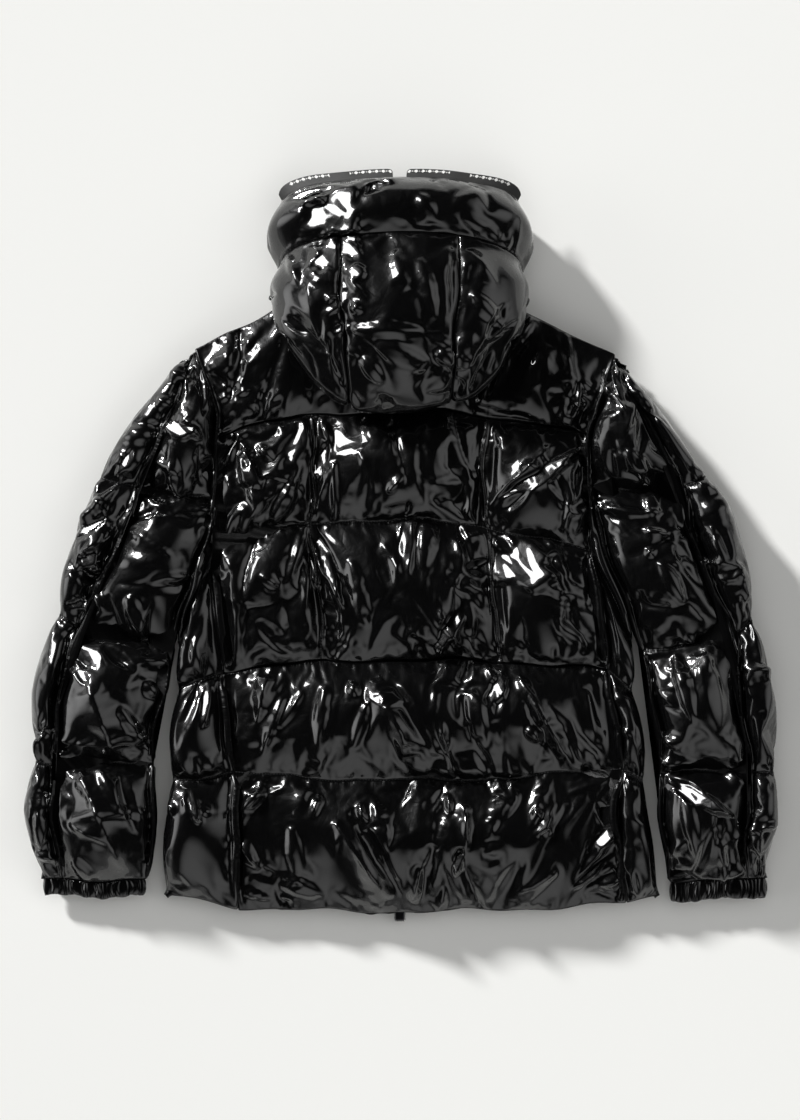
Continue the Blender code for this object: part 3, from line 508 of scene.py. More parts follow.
HOOD_SAMPLES = 60            # places at which its length is measured
# how square its arches are: across, forwards and upwards, and how fast they turn in below
SQUARE_X, SQUARE_Y, SQUARE_Z, TURN_IN = 0.92, 0.68, 0.85, 2.3


def hood_section(place):
    values = np.array([section[1:] for section in HOOD_SECTIONS], float)
    slopes = np.gradient(values, axis=0)
    where = np.clip(place, 0.0, 1.0) * (len(values) - 1)
    k = np.minimum(where.astype(int), len(values) - 2)
    t = (where - k)[:, None]
    return (values[k] * (1 + 2 * t) * (1 - t) ** 2 + values[k + 1] * t * t * (3 - 2 * t)
            + slopes[k] * t * (1 - t) ** 2 - slopes[k + 1] * t * t * (1 - t)).T


def hood_base(place, turn):
    """Points of the hood at seam level; turn goes from -1 to 1 round its arch."""
    y_top, y_side, half_width, z_side, z_top, tuck, _ = (part[:, None] for part in hood_section(place))
    angle = np.radians(turn * tuck)
    across, up = np.sin(angle), np.cos(angle)
    high = np.maximum(up, 0.0)
    x = HOOD_X + half_width * np.sign(across) * np.abs(across) ** SQUARE_X
    y = y_top + (y_side - y_top) * (1 - high ** SQUARE_Y)
    z = np.where(up > 0, z_side + (z_top - z_side) * high ** SQUARE_Z, z_side * (1 + TURN_IN * up))
    return np.stack([x, y, z], axis=-1)


def hood_sheet(place_start, place_end, turns, columns, held, sunk_sides):
    """A piece of the hood between two places and two seams, which are shares of the arch.

    held says how far the filling stands out along its two side edges, as a share, and sunk_sides
    how much deeper than that the edges are, in mm.
    """
    samples = np.linspace(place_start, place_end, HOOD_SAMPLES)
    length = lengths_along(hood_base(samples, np.zeros((HOOD_SAMPLES, 1)))[:, 0])
    rows = round(length[-1] / HOOD_CLOTH)
    place = np.interp(np.linspace(0, length[-1], rows + 1), length, samples)
    share = np.linspace(0.0, 1.0, columns + 1)
    start, end = (seam(place)[:, None] for seam in turns)
    turn = start + (end - start) * share
    base = hood_base(place, turn)
    normal = outward_normals(base, hood_heart(base))[0]
    width = np.linalg.norm(base[:, -1] - base[:, 0], axis=1)[:, None]
    # the filling stands fully out from 15 mm off the side edges
    rise = np.clip(4.0 * np.minimum(share, 1 - share) * width / 60.0, 0.0, 1.0) ** 0.6
    low_rise = np.where(share < 0.5, held[0], held[1])
    rise = low_rise + (1 - low_rise) * rise
    sunk = np.zeros(turn.shape)
    sunk[:, 0], sunk[:, -1] = sunk_sides
    if place_start == 0.0:
        sunk[-1] = SEAM_SUNK
    else:
        sunk[0] = SEAM_UNDER
    points = base + normal * (hood_section(place)[-1][:, None] * rise - sunk)[..., None]
    lowest = np.where(base[..., 1] < HOOD_LIES_TO_Y, YOKE_TOP, 0.0)
    points[..., 2] = np.maximum(points[..., 2], lowest)
    sewn = np.zeros(turn.shape, bool)
    sewn[[0, -1]] = sewn[:, [0, -1]] = True
    return points, sewn


def hood_heart(points):
    return np.stack([np.full(points.shape[:2], HOOD_X), points[..., 1],
                     np.full(points.shape[:2], HOOD_HEART_HEIGHT)], axis=-1)


def outward_normals(points, heart):
    """Unit normals of a grid, away from its heart, and if they had to be turned round."""
    normal = np.cross(np.gradient(points, axis=1), np.gradient(points, axis=0))
    normal /= np.maximum(np.linalg.norm(normal, axis=2), 1e-9)[..., None]
    turned = (normal * (points - heart)).sum() < 0
    return (-normal, True) if turned else (normal, False)


def side_edge(sign):
    return lambda place: np.full(len(place), float(sign))


def strip_seam(sign, under=0.0):
    return lambda place: sign * (HOOD_SEAM_ANGLE + under) / hood_section(place)[5]


SEAM_SUNK = 2.5              # a seam between two pieces of the hood lies this deep, in mm
SEAM_UNDER = 3.8             # and the piece that reaches under its neighbour there this deep
UNDER_PLACE, UNDER_ANGLE = 0.005, 0.9     # how far it reaches under
STRIP_RISE = 0.6             # the strips' seams lie this far out, as a share of the puff beside them
BELOW_BRIM = BRIM_SEAM - UNDER_PLACE
HOOD_PIECES = {
    "hood_brim": (0.0, BRIM_SEAM, (side_edge(-1), side_edge(1)), 112, (0.0, 0.0), (0.0, 0.0)),
    "hood_side_left": (BELOW_BRIM, 1.0, (side_edge(-1), strip_seam(-1)), 38,
                       (0.0, STRIP_RISE), (0.0, SEAM_SUNK)),
    "hood_centre": (BELOW_BRIM, 1.0, (strip_seam(-1, UNDER_ANGLE), strip_seam(1, UNDER_ANGLE)), 32,
                    (STRIP_RISE, STRIP_RISE), (SEAM_UNDER, SEAM_UNDER)),
    "hood_side_right": (BELOW_BRIM, 1.0, (strip_seam(1), side_edge(1)), 38,
                        (STRIP_RISE, 0.0), (SEAM_SUNK, 0.0)),
}
for node, facts in HOOD_PIECES.items():
    sheets[node] = hood_sheet(*facts)
    hearts[node] = hood_heart(sheets[node][0])
print("hood:", {node: sheets[node][1].shape for node in HOOD_PIECES})

# %% [markdown]
# ## Creases
#
# Cloth that is blown up makes small puckers by itself, but the long folds of this jacket
# come from how it was worn and packed, so they are given one by one. Each one is a ridge or a
# trough along a short line, steep near its crest, and it is put into the sheet before the
# cloth moves, so that the puckers form around it.
# %% Creases, one by one
# start x, y, end x, y, half width, height (below 0 is a trough)
CREASES = (
    # yoke and shoulders
    (-232, 185, -205, 140, 9, 5), (-222, 200, -190, 172, 8, -4), (-205, 165, -165, 150, 9, 4),
    (-214, 135, -170, 142, 7, 4), (-190, 200, -150, 165, 10, -4), (214, 178, 190, 140, 9, 5),
    (225, 190, 205, 165, 7, -4), (206, 168, 212, 158, 6, 6), (180, 150, 215, 138, 8, 4),
    (-120, 150, -70, 140, 9, -4), (110, 150, 160, 142, 9, -4),
    # upper row of the middle back
    (-116, 146, -106, 67, 10, 8), (-79, 97, -112, 11, 8, 6), (-108, 120, -92, 70, 7, -5),
    (-17, 60, 3, 81, 8, 7), (-50, 110, -30, 60, 9, 4), (20, 120, 30, 40, 10, -4),
    (85, 85, 90, 20, 7, -5), (101, 44, 179, 121, 13, 9), (120, 40, 150, 72, 8, -5),
    (142, 95, 181, 70, 11, 8), (207, 106, 188, 10, 7, 6), (160, 100, 200, 40, 9, -4),
    (-190, 110, -160, 30, 11, 5), (-200, 70, -150, 60, 9, -4), (-170, 120, -150, 100, 7, 5),
    # lower row of the middle back
    (-112, 13, -79, -50, 7, 6), (-96, 8, -62, -60, 8, -5), (-112, -18, -114, -79, 6, 6),
    (-228, -1, -246, -94, 9, 6), (-165, -36, -144, -48, 7, 6), (0, 29, 4, -18, 7, 6),
    (108, 5, 172, -54, 19, 12), (120, -20, 150, -60, 8, -6), (43, -76, 68, -126, 9, 7),
    (150, 0, 190, -70, 10, 5), (-200, -20, -190, -110, 11, 5), (-60, -20, -40, -100, 12, 5),
    (-30, 0, -10, -70, 9, -4), (60, 10, 80, -50, 10, 4), (180, -90, 215, -120, 9, 5),
    (-170, -90, -130, -130, 9, -4), (20, -90, 10, -130, 9, 4),
    # upper row of the lower back
    (-158, -155, -171, -212, 8, 7), (-140, -179, -165, -247, 8, 7), (-117, -173, -143, -215, 7, 6),
    (-229, -162, -228, -203, 6, 5), (-60, -161, -53, -178, 6, 6), (-35, -155, 20, -262, 14, 9),
    (-12, -160, 30, -240, 9, -5), (97, -141, 120, -182, 10, 8), (136, -155, 204, -270, 12, 9),
    (140, -170, 185, -265, 8, -5), (143, -217, 167, -228, 7, 6), (44, -210, 52, -253, 6, 6),
    (-90, -165, -100, -235, 10, 5), (60, -160, 70, -215, 10, -4), (215, -170, 225, -240, 10, 5),
    (-40, -185, -60, -245, 9, 4), (80, -170, 95, -240, 10, 5), (10, -262, 165, -268, 9, 6),
    # lower row of the lower back
    (-255, -293, -241, -320, 8, 7), (-274, -300, -270, -318, 6, 5), (-233, -305, -228, -317, 5, 6),
    (-194, -344, -167, -382, 9, 8), (-160, -285, -192, -313, 7, 6), (-97, -290, -106, -320, 6, 7),
    (-79, -323, -9, -422, 13, 9), (-60, -310, 0, -415, 8, -6), (-50, -299, -44, -335, 6, 6),
    (52, -288, 56, -312, 5, 6), (72, -299, 75, -358, 7, 7), (64, -358, 71, -382, 6, 6),
    (153, -308, 173, -341, 9, 9), (251, -335, 217, -362, 9, 8), (251, -335, 203, -395, 8, 7),
    (251, -335, 225, -300, 8, -6), (251, -335, 262, -390, 8, 6), (20, -380, 10, -425, 8, 6),
    (40, -350, 20, -425, 9, -5), (-30, -300, -20, -360, 10, 5), (100, -320, 110, -400, 12, 5),
    (-130, -330, -120, -400, 12, 5), (-150, -390, -90, -415, 9, 5), (180, -385, 130, -410, 9, 5),
    # left sleeve
    (-273, 198, -247, 192, 7, 5), (-286, 168, -260, 162, 7, 6), (-290, 143, -248, 124, 8, 7),
    (-257, 144, -233, 122, 7, 6), (-297, 103, -259, 82, 8, 7), (-273, 80, -250, 46, 8, 6),
    (-380, 25, -330, 70, 7, 6), (-384, 5, -335, 50, 7, -5), (-375, -12, -325, 30, 7, 6),
    (-355, -20, -330, 5, 6, -4), (-373, -10, -354, -29, 6, 6), (-385, -65, -366, -74, 6, 6),
    (-365, -44, -350, -79, 7, 6), (-394, -136, -369, -170, 9, 7), (-372, -145, -335, -252, 16, 9),
    (-350, -120, -310, -150, 8, -5), (-298, -162, -286, -182, 6, 6), (-421, -211, -406, -222, 6, 6),
    (-407, -241, -393, -249, 6, 6), (-378, -264, -327, -383, 16, 9), (-387, -328, -343, -347, 8, 6),
    (-330, -270, -310, -340, 9, -5), (-320, -60, -300, -110, 9, 6), (-345, -60, -330, -105, 9, -4),
    (-330, -190, -305, -230, 8, 5), (-418, -290, -425, -360, 8, 5), (-400, -110, -420, -190, 8, 5),
    (-360, 60, -345, 20, 8, 5),
    # right sleeve
    (281, 16, 312, 10, 7, 7), (285, -5, 293, -14, 6, 6), (322, 52, 333, 13, 7, 6),
    (332, -107, 345, -116, 7, 7), (307, -223, 328, -243, 8, 7), (309, -273, 373, -308, 8, 7),
    (379, -267, 406, -287, 8, 7), (270, 170, 262, 130, 8, 6), (285, 160, 275, 100, 8, -5),
    (262, 110, 290, 70, 8, 6), (300, 120, 320, 80, 8, 5), (300, -20, 330, -70, 10, 6),
    (320, 0, 350, -50, 9, -5), (360, 20, 380, -40, 9, 5), (320, -130, 340, -210, 11, 6),
    (350, -130, 370, -220, 12, 5), (400, -120, 415, -200, 9, 5), (330, -290, 345, -370, 10, 5),
    (370, -310, 385, -380, 10, -5), (300, -170, 320, -190, 7, 5), (405, -300, 420, -370, 8, 5),
    (340, 90, 360, 60, 7, 5), (390, -20, 405, -70, 8, 5),
)
# on the hood: the same facts
HOOD_CREASES = (
    (-104, 402, -45, 372, 10, 6), (-120, 398, -84, 404, 7, 4), (-44, 420, -20, 414, 7, 5),
    (-106, 348, -76, 314, 8, 6), (-64, 350, -48, 330, 7, 6), (-62, 318, -44, 306, 7, 6),
    (-64, 308, -40, 281, 6, 6), (-88, 287, -66, 270, 7, 6), (-60, 276, -46, 268, 6, 5),
    (-76, 256, -60, 244, 7, 5), (-60, 248, 30, 246, 9, 6), (58, 192, 72, 170, 8, -5),
    (60, 400, 110, 410, 12, 4), (70, 380, 120, 352, 12, 5), (20, 405, 40, 370, 9, 4),
    (76, 340, 110, 300, 12, 5), (80, 290, 118, 250, 11, 5), (60, 350, 64, 230, 7, -4),
    (-10, 340, 5, 290, 11, 4), (20, 330, 40, 260, 10, 4), (-30, 230, 40, 200, 12, 5),
    (-110, 300, -100, 240, 11, 5), (-135, 340, -120, 300, 8, 4), (40, 220, 80, 205, 9, 5),
    (-10, 300, 30, 290, 9, -4), (100, 240, 120, 280, 8, -4), (-50, 215, -20, 185, 8, 5),
)
random = np.random.default_rng(11)


def leaf(share, side, kind):
    """Height, up to 1, of a fold shaped like a long leaf.

    share goes from 0 to 1 along it, and side is the distance from its middle line in half
    widths. Kind 0 is a rounded ridge, 1 a lens with crisp edges and 2 a flat top.
    """
    swelling = np.sin(math.pi * (0.1 + 0.9 * share)) * (share < 1.0)
    side = side / (0.25 + 0.75 * swelling)
    shape = (0.5 * np.exp(-side ** 2) + 0.5 * np.exp(-2.5 * side), np.maximum(1.0 - side ** 2, 0.0),
             1.0 / (1.0 + side ** 6))[kind]
    return swelling ** 0.8 * shape


LARGE_CREASE = 7.0           # ridges from this height up are rounded, so that they catch broad light


def crease_heights(points, creases):
    """How far each point (x, y) is raised by some creases."""
    total = np.zeros(len(points))
    for number, (x0, y0, x1, y1, half_width, height) in enumerate(creases):
        start, along = np.array([x0, y0], float), np.array([x1 - x0, y1 - y0], float)
        share = (points - start) @ along / (along @ along)
        away = np.linalg.norm(points - start - share[:, None] * along, axis=1)
        inside = (share > 0) & (share < 1)
        kind = 0 if height >= LARGE_CREASE else number % 3
        total[inside] += height * leaf(share[inside], away[inside] / half_width, kind)
    return total


print("creases:", len(CREASES), "on the jacket and", len(HOOD_CREASES), "on the hood")

# %% Folds that start at a seam
# spacing along the seam on each side, reach, half width and height of each kind of fold: the
# long leaves, and the small gathers right at the seam
FOLDS = ((44.0, (35.0, 105.0), (5.0, 13.0), (1.5, 5.5)), (8.0, (7.0, 20.0), (1.8, 3.6), (0.4, 1.2)))
FOLD_SLANT = 0.5             # most it leans, as a share of its length
TROUGHS = 0.4                # share of the folds that are troughs


def seam_folds(along, across, seams, size):
    """Heights of a grid's points on folds that run off some seams.

    along holds the places of the grid lines that cross the seams, and across those of the
    lines beside them; size makes all folds longer and higher.
    """
    total = np.zeros((len(across), len(along)))
    for seam in seams:
        for spacing, reaches, half_widths, heights in FOLDS:
            for start in random.uniform(0.0, along[-1], round(2 * along[-1] / spacing)):
                reach = random.uniform(*reaches)
                half_width = random.uniform(*half_widths)
                height = random.uniform(*heights)
                way = random.choice((-1.0, 1.0))
                slant = random.uniform(-FOLD_SLANT, FOLD_SLANT)
                if random.random() < TROUGHS:
                    height = -height
                away = ((across - seam) * way)[:, None]
                share = np.clip(away / (reach * size), 0.0, 1.0)
                side = np.abs(along[None] - start - slant * away) / half_width
                total += (away > 0) * size * height * leaf(share, side, random.integers(3))
    return total


# %% [markdown]
# ## Cloth on the panels
#
# A puffer's cells could be sculpted, but real ones get their look from one fact: each piece
# of cloth is longer than the lining it is sewn to, and the filling pushes it out. Blender's
# cloth does just that. Each panel is cut a few percent larger than it lies, its seams are pinned
# and pull in to where they lie, and pressure blows it up between them, so it buckles into
# puckers that start at the seams. The filling also holds the cloth loosely where it lies.
# %% From points to a mesh
# how often the points of each kind of panel move to the middle of their neighbours
FACET_ROUNDS = {"back": 10, "side": 10, "front": 2, "sleeve": 10, "hood": 0}
SEAM_FLAT = 4.0              # the stitches hold the cloth down this near a seam
EDGE_FOLDS = 0.3             # share of a fold's height that is left where the cloth stands upright
FAR = 1000.0                 # a distance that means: no seam that way
WANDER_LESS_FROM_Y = 370.0   # the hood's edge is bound with tape and lies straighter
WANDER_EASE, WANDER_LEAST = 60.0, 0.25
LIFT_REACH, LIFT_SHARE = 4, 0.85     # an upright seam is lifted to the cloth this many columns beside it


def relax(points, sewn, rounds):
    """Takes the facets of the solid out of a sheet, between its seams."""
    free = ~sewn[1:-1, 1:-1, None]
    for _ in range(rounds):
        middle = (points[:-2, 1:-1] + points[2:, 1:-1] + points[1:-1, :-2] + points[1:-1, 2:]) / 4
        points[1:-1, 1:-1] = np.where(free, middle, points[1:-1, 1:-1])
    return points


def wander(points):
    """Moves points a little sideways, as no seam of a soft jacket lies straight."""
    x, y = points[..., 0].copy(), points[..., 1].copy()
    share = np.clip((WANDER_LESS_FROM_Y - y) / WANDER_EASE, WANDER_LEAST, 1.0)
    points[..., 0] += share * (2.0 * np.sin(y / 24 + 1.3 * np.sin(x / 61)) + 1.1 * np.sin(y / 11.3 + x / 37))
    points[..., 1] += share * (2.2 * np.sin(x / 27 + 1.1 * np.sin(y / 53)) + 1.2 * np.sin(x / 12.1 + y / 41))
    return points


def lift_seams(points, sewn):
    """Makes the upright seams shallower: they are pulled less tight than the quilting lines."""
    free_rows = ~sewn.all(axis=1)
    for column in np.flatnonzero(sewn.all(axis=0)):
        both = (column - LIFT_REACH, column + LIFT_REACH)
        beside = [index for index in both if 0 <= index < sewn.shape[1]]
        high = points[:, beside].mean(axis=1)
        points[free_rows, column, 2] += LIFT_SHARE * (high[free_rows, 2] - points[free_rows, column, 2])
    return points


def gaps_to(points, axis, marks):
    """Distance of each grid line to the nearest marked one, and the places of the lines."""
    place = running_sum(np.linalg.norm(np.diff(points, axis=axis), axis=2).mean(axis=1 - axis))
    return np.abs(place[:, None] - place[marks][None]).min(axis=1, initial=FAR), place


def set_values(mesh, name, values):
    mesh.attributes.new(name, "FLOAT", "POINT").data.foreach_set("value", np.asarray(values, np.float32))


def read_values(mesh, name):
    values = np.empty(len(mesh.vertices), np.float32)
    mesh.attributes[name].data.foreach_get("value", values)
    return values


def grid_piece(name, points, sewn, heart, creases=(), folds=(0.0, 0.0)):
    """An open sheet with creases, a UV map in metres and its distances to the seams.

    folds are the sizes of the folds off its seams that run across and off those that run up.
    """
    rows, columns = sewn.shape
    row_marks, column_marks = sewn.all(axis=1), sewn.all(axis=0)
    row_gap, row_place = gaps_to(points, 0, row_marks)
    column_gap, column_place = gaps_to(points, 1, column_marks)
    points = wander(points)
    normal, turned = outward_normals(points, heart)
    if creases:
        near_seam = np.clip(np.minimum(row_gap[:, None], column_gap[None]) / SEAM_FLAT, 0.0, 1.0)
        raised = crease_heights(points[..., :2].reshape(-1, 2), creases).reshape(rows, columns)
        raised += seam_folds(column_place, row_place, row_place[row_marks], folds[0])
        raised += seam_folds(row_place, column_place, column_place[column_marks], folds[1]).T
        on_top = np.clip(np.abs(normal[..., 2]) * 1.7, EDGE_FOLDS, 1.0)
        points = points + normal * (raised * near_seam * on_top)[..., None]
    points[..., 2] = np.maximum(points[..., 2], 0.0)

    bm = bmesh.new()
    bmesh.ops.create_grid(bm, x_segments=columns - 1, y_segments=rows - 1, size=1.0)
    mesh = to_mesh(name, bm)
    flat = read_vectors(mesh.vertices)
    column, row = (np.rint((flat[:, axis] + 1) / 2 * (count - 1)).astype(int)
                   for axis, count in ((0, columns), (1, rows)))
    mesh.vertices.foreach_set("co", (points[row, column] * MM).ravel())
    if turned:
        mesh.flip_normals()
    set_values(mesh, "row_gap", row_gap[row] * MM)
    set_values(mesh, "column_gap", column_gap[column] * MM)
    corner = np.empty(len(mesh.loops), int)
    mesh.loops.foreach_get("vertex_index", corner)
    place = np.column_stack([column_place[column], row_place[row]]) * MM
    mesh.uv_layers.new(name="cut").data.foreach_set("uv", place[corner].ravel().astype(np.float32))
    return add_object(name, mesh), row, column


# %% Cloth
FRAMES = 26
FILLING_HOLD = (0.03, 0.10)  # how firmly the filling holds the cloth between its seams
GATHER_FRAMES = 16           # over these, the seams pull in from the cut size to where they lie
LYING = "as_it_lies"
CLOTH_MASS = 0.3
TENSION = 15.0
PRESSURE = 2.5
UNEVEN = 0.025               # how much more, or less, some places grow than others
SHARPEN, SOFT_ROUNDS = 0.5, 2        # how much crisper the creases are made than a softened copy
BENDING = 1.0
CAP = 15.0                   # no point moves farther than this, in mm


def uneven(points):
    """A slowly changing number from 0 to 1 for points in metres."""
    x, y = points[:, 0] / MM, points[:, 1] / MM
    waves = np.sin(x / 19 + 2.0 * np.sin(y / 47)) + np.sin(y / 23 + 1.7 * np.sin(x / 39))
    return np.clip(0.5 + (waves + np.sin((x + y) / 31)) / 4, 0.0, 1.0)


def make_cloth(piece, pinned, growth):
    """growth is how much longer the cloth was cut than it lies, along x, y and z."""
    start = read_vectors(piece.data.vertices)
    loose, firm = FILLING_HOLD
    hold = np.where(pinned, 1.0, loose + (firm - loose) * uneven(start))
    seams = piece.vertex_groups.new(name="seams")
    ease = piece.vertex_groups.new(name="ease")
    for index, (grip, weight) in enumerate(zip(hold, uneven(start[:, [1, 0]] * 1.3))):
        seams.add([index], float(grip), "REPLACE")
        ease.add([index], float(weight), "REPLACE")
    middle = start.mean(axis=0)
    as_cut = middle + (start - middle) * (1 + np.array(growth))
    piece.data.vertices.foreach_set("co", as_cut.ravel())
    piece.shape_key_add(name="as_cut", from_mix=False)
    lying = piece.shape_key_add(name=LYING, from_mix=False)
    lying.data.foreach_set("co", start.astype(np.float32).ravel())
    for value, number in ((0.0, 1), (1.0, GATHER_FRAMES)):
        lying.value = value
        lying.keyframe_insert("value", frame=number)
    puffing = piece.modifiers.new("puffing", "CLOTH")
    facts = puffing.settings
    facts.vertex_group_mass = "seams"
    facts.pin_stiffness = 1.0
    facts.quality = 5
    facts.mass = CLOTH_MASS
    facts.tension_stiffness = facts.compression_stiffness = TENSION
    facts.shear_stiffness = TENSION / 3
    facts.bending_stiffness = BENDING
    facts.use_pressure = True
    facts.uniform_pressure_force = PRESSURE
    facts.vertex_group_shrink = "ease"
    facts.shrink_min, facts.shrink_max = UNEVEN, -UNEVEN
    facts.air_damping = 1.0
    facts.effector_weights.gravity = 0.0
    puffing.collision_settings.use_collision = False
    puffing.point_cache.frame_start, puffing.point_cache.frame_end = 1, FRAMES


def puff(pieces):
    """Runs the cloth of all pieces at once and keeps its result."""
    scene = bpy.context.scene
    for number in range(1, FRAMES + 1):
        scene.frame_set(number)
    depsgraph = bpy.context.evaluated_depsgraph_get()
    starts, ends = {}, {}
    for node, piece in pieces.items():
        starts[node] = ends[node] = read_vectors(piece.data.shape_keys.key_blocks[LYING].data) / MM
        ends[node] = read_vectors(piece.evaluated_get(depsgraph).data.vertices) / MM
    for node, piece in pieces.items():
        piece.modifiers.clear()
        piece.vertex_groups.clear()
        piece.shape_key_clear()
        row, column, sewn = grids[node]
        move = ends[node] - starts[node]
        length = np.maximum(np.linalg.norm(move, axis=1), 1e-9)
        move *= (np.minimum(length, CAP) / length)[:, None]
        settled = np.empty((*sewn.shape, 3))
        settled[row, column] = starts[node] + move
        soft = relax(settled.copy(), sewn, SOFT_ROUNDS)
        settled += SHARPEN * (settled - soft)
        settled[..., 2] = np.maximum(settled[..., 2], 0.0)
        piece.data.vertices.foreach_set("co", (settled[row, column] * MM).ravel())
        piece.data.update()
        print(piece.name, "moved", round(length.mean(), 1), "mm, most", round(length.max(), 1))
    scene.frame_set(1)


# %% The panels are blown up
# how much longer each kind of panel is cut than it lies, along x, y and z
GROWTH = {"back": (0.03, 0.01, 0.02), "side": (0.03, 0.02, 0.02), "front": (0.03, 0.01, 0.01),
          "sleeve": (0.03, 0.03, 0.02), "hood": (0.03, 0.02, 0.03)}
# the size of its folds off the seams that run across, and off those that run up
FOLD_SIZES = {"back": (1.0, 0.8), "side": (0.8, 0.8), "front": (0.7, 0.5), "sleeve": (0.8, 0.9),
              "hood": (0.5, 0.45)}
HIDDEN_CREASES = [(-x0, y0, -x1, y1, width, height / 2) for x0, y0, x1, y1, width, height in CREASES]

puffed = {}
grids = {}                   # node: the row and column of each point, and which are sewn
for node, (points, sewn) in sheets.items():
    kind = node.split("_")[0]
    creases = {"front": HIDDEN_CREASES, "hood": HOOD_CREASES}.get(kind, CREASES)
    points = relax(points, sewn, FACET_ROUNDS[kind])
    if kind not in ("front", "hood"):
        points = lift_seams(points, sewn)
    piece, row, column = grid_piece(f"{node}_cloth", points, sewn, hearts[node], creases, FOLD_SIZES[kind])
    grids[node] = (row, column, sewn)
    make_cloth(piece, sewn[row, column], GROWTH[kind])
    puffed[node] = piece
print("panels:", sum(len(piece.data.vertices) for piece in puffed.values()), "points")
puff(puffed)

# %% [markdown]
# ## Closing the panels
#
# A sheet has no thickness, and a shape in a library should be closed. Each panel's rim is
# turned inwards, and the lining side is filled, which is the simplest wall that encloses the
# filling. The fronts and the side panels bulge towards the floor, so there the rim goes deeper,
# or the filled side would cut through the cloth. One subdivision first makes the puckers smooth.
# %% Subdivide and close
RIM = 3.0                    # how far a rim is turned inwards, in mm
DEEP_RIMS = {"front_left": 14.0, "front_right": 14.0, "side_panel_left": 7.0, "side_panel_right": 7.0}


def bake(piece):
    """Puts what a piece's modifiers make of it in the place of its mesh."""
    mesh = bpy.data.meshes.new_from_object(piece.evaluated_get(bpy.context.evaluated_depsgraph_get()))
    mesh.name = piece.name
    piece.modifiers.clear()
    piece.data = mesh


def subdivide(piece):
    fine = piece.modifiers.new("fine", "SUBSURF")
    fine.levels = fine.render_levels = 1
    bake(piece)


def close(piece, depth):
    """Turns the rim of an open sheet inwards and fills the inner side."""
    bm = bmesh.new()
    bm.from_mesh(piece.data)
    rim = [edge for edge in bm.edges if edge.is_boundary]
    inwards = {vertex: -vertex.normal.copy() for edge in rim for vertex in edge.verts}
    made = bmesh.ops.extrude_edge_only(bm, edges=rim)["geom"]
    lower_edges = [edge for edge in made if isinstance(edge, bmesh.types.BMEdge) and edge.is_boundary]
    old = {tuple(vertex.co): direction for vertex, direction in inwards.items()}
    for vertex in {vertex for edge in lower_edges for vertex in edge.verts}:
        vertex.co += old[tuple(vertex.co)] * depth * MM
        vertex.co.z = max(vertex.co.z, 0.0)
    bmesh.ops.triangle_fill(bm, edges=lower_edges, use_beauty=True)
    bmesh.ops.recalc_face_normals(bm, faces=bm.faces)
    if bm.calc_volume(signed=True) < 0:
        bmesh.ops.reverse_faces(bm, faces=bm.faces)
    bm.to_mesh(piece.data)
    bm.free()


def wall(piece, thickness):
    """Gives an open sheet a second side, inwards."""
    inner = piece.modifiers.new("wall", "SOLIDIFY")
    inner.thickness = thickness * MM
    inner.offset = -1.0
    bake(piece)


# %% [markdown]
# ## Taut spots
#
# Glossy cloth shows its form by what it mirrors. A small crease mirrors the window as a speck.
# Where the filling presses hardest the cloth is taut and nearly flat, and mirrors the window as
# one broad patch. Such a spot is made by pressing the points inside an ellipse towards a plane.
# The plane's normal lies halfway between the directions to the window and to the camera, as
# a mirror sends light from the one to the other at that tilt. Nothing moves on a seam.
# %% Taut spots
WINDOW_DIRECTION, WINDOW_DISTANCE = (-0.60, 0.52, 0.62), 2.9
WINDOW_AT = np.array(Vector(WINDOW_DIRECTION).normalized() * WINDOW_DISTANCE) / MM
CAMERA_AT = np.array([*CAMERA_CENTRE, CAMERA_HEIGHT]) / MM
TAUT_SPOTS = (               # x, y, half length, half width, angle of the length, in mm and degrees
    # the hood's brim
    (-80, 385, 26, 20, 40), (-110, 410, 22, 6, 10), (-25, 420, 14, 6, 30),
    # beside the hood's left strip seam
    (-85, 335, 16, 11, 60), (-60, 345, 11, 9, 90), (-55, 315, 9, 6, 20), (-75, 280, 15, 5, 45),
    (-70, 250, 9, 4, 30),
    # middle back
    (135, -25, 31, 19, 0), (160, 80, 34, 7, 30), (5, 5, 26, 7, 85), (55, -100, 19, 7, 60),
    (-90, -20, 36, 5, 110), (-95, 95, 16, 5, 75), (205, 75, 16, 5, 85), (-230, -35, 26, 3, 85),
    (-105, -30, 16, 4, 105), (205, 175, 12, 3, 90),
    # lower back
    (110, -170, 14, 7, 60), (-230, -185, 20, 4, 85), (-245, -305, 14, 5, 110), (165, -325, 12, 5, 60),
    (235, -345, 10, 5, 65), (65, -370, 11, 4, 80), (220, -385, 19, 4, 45),
    # sleeves
    (-265, 135, 18, 7, 170), (-365, -20, 10, 8, 120), (-330, 25, 20, 3, 45), (-365, 20, 16, 3, 30),
    (-375, -70, 11, 5, 0), (-325, 95, 12, 4, 60), (-375, -150, 11, 4, 120), (345, -295, 26, 7, 150),
)
LEVELLED = 0.84              # how far the points go towards the plane
SPOT_FADE = 0.7              # a spot fades out over this share of its size
SEAM_FREE = 5.0              # the cloth is free to lie anywhere this far from a seam, in mm
WAVY_FROM = 12.0             # half width from which a spot's edge is fully wavy, in mm
LEAST_POINTS = 3.0           # a spot that presses fewer points of a piece leaves it alone


